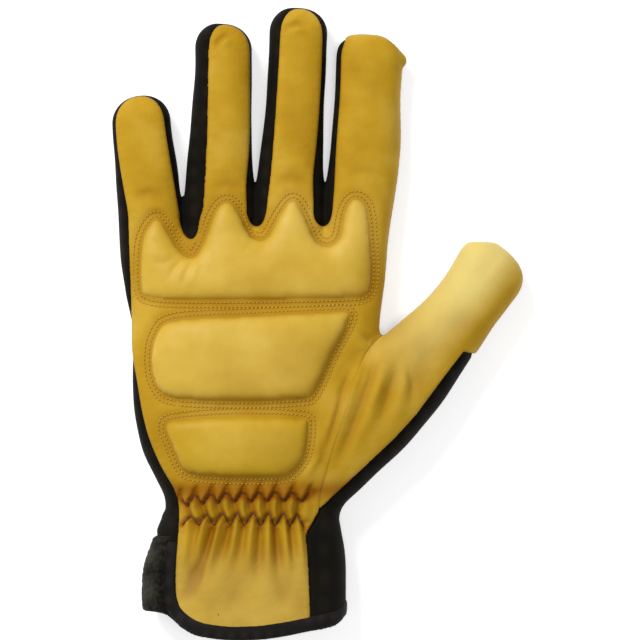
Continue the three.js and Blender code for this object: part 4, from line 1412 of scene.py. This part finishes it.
def filled(border):
    """An even net of triangles inside a closed border: its points and faces."""
    low, high = border.min(0), border.max(0)
    columns = np.arange(low[0], high[0], pad_step)
    x, y = np.meshgrid(columns, np.arange(low[1], high[1], pad_step * 0.87))
    x[1::2] += pad_step / 2
    inside = np.stack([x.ravel(), y.ravel()], 1)
    inside = inside[line_distance(inside, border)[0] < -0.45 * pad_step]
    edges = [(i, (i + 1) % len(border)) for i in range(len(border))]
    places = [Vector(p) for p in np.concatenate([border, inside])]
    found = delaunay_2d_cdt(places, edges, [], 1, 1e-4)
    return np.array([list(p) for p in found[0]]), np.array([list(f) for f in found[2]])


# %% [markdown]
# The pad's foot sinks half a millimetre into the hide, so no gap shows. Near the edge it follows
# the hide's folds, and its own creases fade out towards the border, where the seam holds it.

# %% Pads
pad_rise, pad_sink, rise_power = 3.7, 0.5, 0.7
follow_share, follow_reach, pad_wave, pad_wave_size = 0.5, 6, 0.05, 12
foot_shade, foot_width = 0.22, 1.5


def gel_pad(name, line, replaced, reach, crown, material):
    """A pad that rises within the given reach of its outline and has a crown on top."""
    border = even_spacing(line, pad_step)
    flat, faces = filled(border)
    depth = np.clip(-line_distance(flat, border)[0], 0, None)
    share = swell(depth, faces, reach)
    rise = pad_rise * (1 - (1 - share) ** 2) ** rise_power + crown * share**2
    base = top_of_skin(flat)
    normal = skin_normal(base)[0]
    follow = follow_share * relief(base)[0] * np.exp(-depth / follow_reach)
    height = rise - pad_sink + follow + pad_wave * undulation(base, pad_wave_size)
    height += sum(stroke(flat, *fold) for fold in pad_fold_strokes) * np.clip(depth / 2, 0, 1)
    dark = foot_shade * bell(depth, foot_width)
    mesh = dict(points=base + normal * (hide_height + height)[:, None], faces=faces)
    made = make_object(name, mesh, material, replaced, {"fold": dark})
    return made


gel_pad("gel_pad_knuckles", pad_lines["knuckles"], ["pad_knuckles"], 5.5, 0.8, pad_material)
gel_pad("gel_pad_palm", pad_lines["palm"], ["pad_palm"], 3.8, 0.5, pad_material)
gel_pad("gel_pad_heel", pad_lines["heel"], ["pad_heel"], 3.8, 0.5, heel_shaded_hide)


# %% [markdown]
# ## Stitches
#
# Each stitch is a short arched thread between two needle holes. They could be drawn by a bump
# texture, but real threads catch light and cast small shadows, so they are tiny tubes.


# %% Thread builder
tube_sides, narrow_end = 6, 0.35


def tubes(paths, normals, radius):
    """Closed tubes along many paths of the same number of points: arrays of (tube, point, 3)."""
    count, steps = paths.shape[:2]
    tangent = np.gradient(paths, axis=1)
    tangent /= np.linalg.norm(tangent, axis=2, keepdims=True)
    side = np.cross(tangent, normals)
    side /= np.linalg.norm(side, axis=2, keepdims=True)
    up = np.cross(side, tangent)
    turn = 2 * np.pi * np.arange(tube_sides) / tube_sides
    ends = np.full(steps, 1.0)
    ends[[0, -1]] = narrow_end
    cos, sin = np.cos(turn)[:, None], np.sin(turn)[:, None]
    ring = radius * ends[:, None, None] * (cos * side[:, :, None] + sin * up[:, :, None])
    points = paths[:, :, None] + ring
    index = np.arange(count * steps * tube_sides).reshape(count, steps, tube_sides)
    a, b = index[:, :-1], index[:, 1:]
    quads = np.stack([a, np.roll(a, -1, 2), np.roll(b, -1, 2), b], -1).reshape(-1, 4)
    caps = np.concatenate([index[:, 0, ::-1], index[:, -1]])
    cap_quads = np.concatenate([caps[:, [0, 1, 2, 3]], caps[:, [0, 3, 4, 5]]])
    return dict(points=points.reshape(-1, 3), faces=np.concatenate([quads, cap_quads]))


def joined(meshes):
    """Several meshes as one."""
    start, faces = 0, []
    for mesh in meshes:
        faces.append(mesh["faces"] + start)
        start += len(mesh["points"])
    return dict(points=np.concatenate([m["points"] for m in meshes]), faces=np.concatenate(faces))


# %% [markdown]
# A row of stitches follows the pad's outline at a distance. Where the outline turns inwards
# sharply the moved line would cross itself, so its points that come too near are dropped.


# %% Rows of stitches
def offset_line(line, distance):
    """A closed line moved outwards."""
    step = np.roll(line, -1, 0) - np.roll(line, 1, 0)
    step /= np.linalg.norm(step, axis=1)[:, None]
    area = np.sum(line[:, 0] * np.roll(line[:, 1], -1) - line[:, 1] * np.roll(line[:, 0], -1))
    out = np.stack([step[:, 1], -step[:, 0]], 1) * np.sign(area)
    moved = line + out * distance
    return moved[np.abs(line_distance(moved, line)[0]) > distance * 0.9]


stitch_pitch, thread_share, thread_radius = 1.6, 0.64, 0.25
places_in_stitch, edge_margin = 6, 1.1
arch = np.array([-0.12, 0.12, 0.18, 0.12, -0.12])[:, None]


def stitch_row(line):
    """Arched threads along a closed line, and the places and normals of the holes between them."""
    dense = even_spacing(line, stitch_pitch / places_in_stitch)
    count = len(dense) // places_in_stitch
    on_leather = line_distance(dense, hide_line)[0][::places_in_stitch][:count] < -edge_margin
    surface, normal = on_hide(dense)
    first = places_in_stitch * np.arange(count)[on_leather]
    along = np.linspace(0, places_in_stitch * thread_share, len(arch))
    index = (first[:, None] + along).astype(int) % len(dense)
    paths = surface[index] + normal[index] * arch
    hole = (first + int(places_in_stitch * (1 + thread_share) / 2)) % len(dense)
    return tubes(paths, normal[index], thread_radius), surface[hole], normal[hole]


# %% [markdown]
# Two rows run round each pad, one on either side of its channel. At each stitch's end the needle
# has left a hole. It is drawn as a dark disc nearly flush with the hide, which looks like a hole
# at this size, while a cut one would open the hide and cost many triangles.

# %% Stitches round the pads
row_distances, hole_radius, hole_depth = (1.1, 2.9), 0.24, 0.1
rows = [
    stitch_row(even_spacing(offset_line(even_spacing(line, 1.0), distance), 0.8))
    for line in pad_lines.values()
    for distance in row_distances
]
threads, holes, hole_normals = zip(*rows)
make_object("pad_stitches", joined(threads), gold_thread)
print(f"{sum(len(hole) for hole in holes)} stitches round the pads")


def needle_holes(places, directions):
    """Small round discs at the given places, a little thicker at their middle."""
    away = directions * hole_depth
    paths = np.stack([places - away, places, places + away * 0.6], 1)
    wide = np.broadcast_to(np.array([1.0, 0.3, 0.0]), paths.shape)
    return tubes(paths, wide, hole_radius)


discs = needle_holes(np.concatenate(holes), np.concatenate(hole_normals))
make_object("needle_holes", discs, hole_material)

# %% [markdown]
# The wrist is gathered by two rows of elastic zigzag. The thread dips in and out of the hide, so
# its height swings along the row. One loose end shows near the hem.

# %% Zigzag rows of the wrist
zigzag_radius, loose_radius, zigzag_step = 0.31, 0.35, 0.5
thread_lift, thread_swing, swing_rate = 0.1, 0.12, 0.9
zigzags = []
for line in (upper_zigzag, lower_zigzag):
    dense = even_spacing(rounded_line(line, closed=False, steps=4), zigzag_step, closed=False)
    swing = thread_swing * np.sin(np.arange(len(dense)) * swing_rate)
    surface, normal = on_hide(dense, thread_lift + swing)
    zigzags.append(tubes(surface[None], normal[None], zigzag_radius))
loose_end = even_spacing(spots((219, 610.5), (219.7, 613)), zigzag_step, closed=False)
surface, normal = on_hide(loose_end)
zigzags.append(tubes(surface[None], normal[None], loose_radius))
make_object("wrist_zigzag", joined(zigzags), brown_thread)


# %% [markdown]
# ## Binding and closure tab
#
# The binding is a tape folded over the raw edge of the cuff. Its cross-section is a flat loop:
# up the outside, round the edge and back inside. It runs down the slit, round a soft corner and
# along the hem. The closure tab is a thick strip of loop tape that wraps the little finger's side.


# %% Binding
def ribbon(line, section_points):
    """A strip along a line of the plan, from section points (across, level over the skin)."""
    step = np.gradient(line, axis=0)
    step /= np.linalg.norm(step, axis=1)[:, None]
    out = np.stack([step[:, 1], -step[:, 0]], 1)
    rings = []
    for across, level in section_points:
        base = top_of_skin(line + out * across)
        rings.append(base + skin_normal(base)[0] * level)
    return grid_mesh(np.stack(rings, 1))


def grid_mesh(grid):
    rows, columns = grid.shape[:2]
    index = np.arange(rows * columns).reshape(rows, columns)
    a, b, c, d = index[:-1, :-1], index[1:, :-1], index[1:, 1:], index[:-1, 1:]
    return dict(points=grid.reshape(-1, 3), faces=np.stack([a, b, c, d], -1).reshape(-1, 4))


binding_section = [
    (2.6, -2.3), (2.9, -1.0), (2.75, 0.1), (2.3, 0.75), (1.2, 1.15), (0, 1.25), (-1.2, 1.2),
    (-2.3, 0.95), (-2.75, 0.45), (-2.8, -0.2),
]
front_binding = ribbon(even_spacing(binding_line, 1.0, closed=False), binding_section)


def round_the_hand(y, first_degree, last_degree, count):
    """Points on the skin round the cuff's section at a height y, between two angles."""
    turn = np.linspace(math.radians(first_degree), math.radians(last_degree), count)
    left, right, top, under = section_at(hand, y)
    c, s = np.cos(turn), np.sin(turn)
    power = 2 / squareness
    x = (left + right) / 2 + np.sign(c) * np.abs(c) ** power * (right - left) / 2
    z = (top + under) / 2 + np.sign(s) * np.abs(s) ** power * (top - under) / 2
    return settle(np.stack([x, y + 0 * x, np.maximum(z, 0.4)], -1))


back_from_hem, back_flatness, in_cuff, back_points = 2.7, 0.35, -40.0, 150
tape_lift, tape_step, tab_lift = 0.05, 0.1, 0.1


def back_binding():
    """The binding round the back, pressed flat where the glove lies on it."""
    first = round_the_hand(in_cuff, 35, -215, back_points)
    hem = hem_height(first[:, 0])
    rings = []
    for across, level in binding_section[::-1]:
        line = first.copy()
        line[:, 1] = hem + back_from_hem - across
        line = settle(line)
        moved = line + skin_normal(line)[0] * (back_flatness * level)
        moved[:, 2] = np.maximum(moved[:, 2], tape_lift + tape_step * (level > 0))
        rings.append(moved)
    return grid_mesh(np.stack(rings, 1))


binding = joined([front_binding, back_binding()])
make_object("hem_binding", binding, binding_material, ["cuff_binding"])

# %% [markdown]
# The tab is a grid wrapped round the cuff and lifted off it, thin where it comes out of the wrist
# and thick below. Its fuzz is small waves of the real surface, so that its outline is soft too.

# %% Closure tab
tab_thickness = (8.0, 10.0, 14.0, 18.0, 22.0, 30.0, 38.0), (0.9, 1.8, 2.6, 3.5, 4.1, 4.2, 3.8)
tab_top, tab_end, tab_points, rounded_points = -8.0, -38.0, 60, 2.5
fuzz_waves = (0.16, 2.3, 0), (0.12, 5.0, 8)


def closure_tab():
    from_end = np.minimum(np.arange(tab_points), np.arange(tab_points)[::-1]) / rounded_points
    rings = []
    for place, to_edge in zip(np.linspace(tab_top, tab_end, tab_points), from_end):
        line = round_the_hand(place, 144, 236, tab_points)
        normal = skin_normal(line)[0]
        share = np.clip(np.minimum(to_edge, from_end), 0, 1)
        thick = np.interp(-place, *tab_thickness) * quarter_round(share) - 0.1
        fuzz = sum(height * undulation(line, size, first) for height, size, first in fuzz_waves)
        moved = line + normal * (thick + fuzz * share)[:, None]
        moved[:, 2] = np.maximum(moved[:, 2], tab_lift)
        rings.append(moved)
    mesh = grid_mesh(np.stack(rings))
    mesh["faces"] = mesh["faces"][:, ::-1]
    return mesh


make_object("closure_loop_tab", closure_tab(), loop_material, ["closure_tab"])

# %% [markdown]
# ## Floor and light
#
# The glove is lit softly over a white ground: a large lamp at the upper left, a weaker one
# overhead and an even pale sky. The floor glows a little, as lit paper does in a light tent.


# %% Stage
def floor():
    data = bpy.data.meshes.new("pale_floor")
    data.from_pydata([(-3, -3, 0), (3, -3, 0), (3, 3, 0), (-3, 3, 0)], [], [(0, 1, 2, 3)])
    material, tree, shader, place = new_material("pale_card")
    shader.inputs["Base Color"].default_value = linear("#F4F4F4")
    shader.inputs["Roughness"].default_value = 0.9
    shader.inputs["Emission Color"].default_value = linear("#FFFFFF")
    shader.inputs["Emission Strength"].default_value = 0.5
    data.materials.append(material)
    made = bpy.data.objects.new("pale_floor", data)
    bpy.context.scene.collection.objects.link(made)


def soft_lamp(name, place, size, power):
    """A round lamp that points at the glove."""
    data = bpy.data.lights.new(name, "AREA")
    data.shape, data.size, data.energy = "DISK", size, power
    lamp = bpy.data.objects.new(name, data)
    bpy.context.scene.collection.objects.link(lamp)
    lamp.location = place
    lamp.rotation_euler = (-Vector(place)).to_track_quat("-Z", "Y").to_euler()


floor()
soft_lamp("key_upper_left", (-0.6, 0.8, 0.95), 0.6, 14)
soft_lamp("overhead_box", (0.1, -0.15, 1.5), 0.5, 5.5)
world = bpy.data.worlds.new("even_sky")
world.use_nodes = True
world.node_tree.nodes["Background"].inputs["Color"].default_value = (1, 1, 1, 1)
world.node_tree.nodes["Background"].inputs["Strength"].default_value = 0.32
bpy.context.scene.world = world
bpy.context.scene.view_settings.view_transform = "Standard"
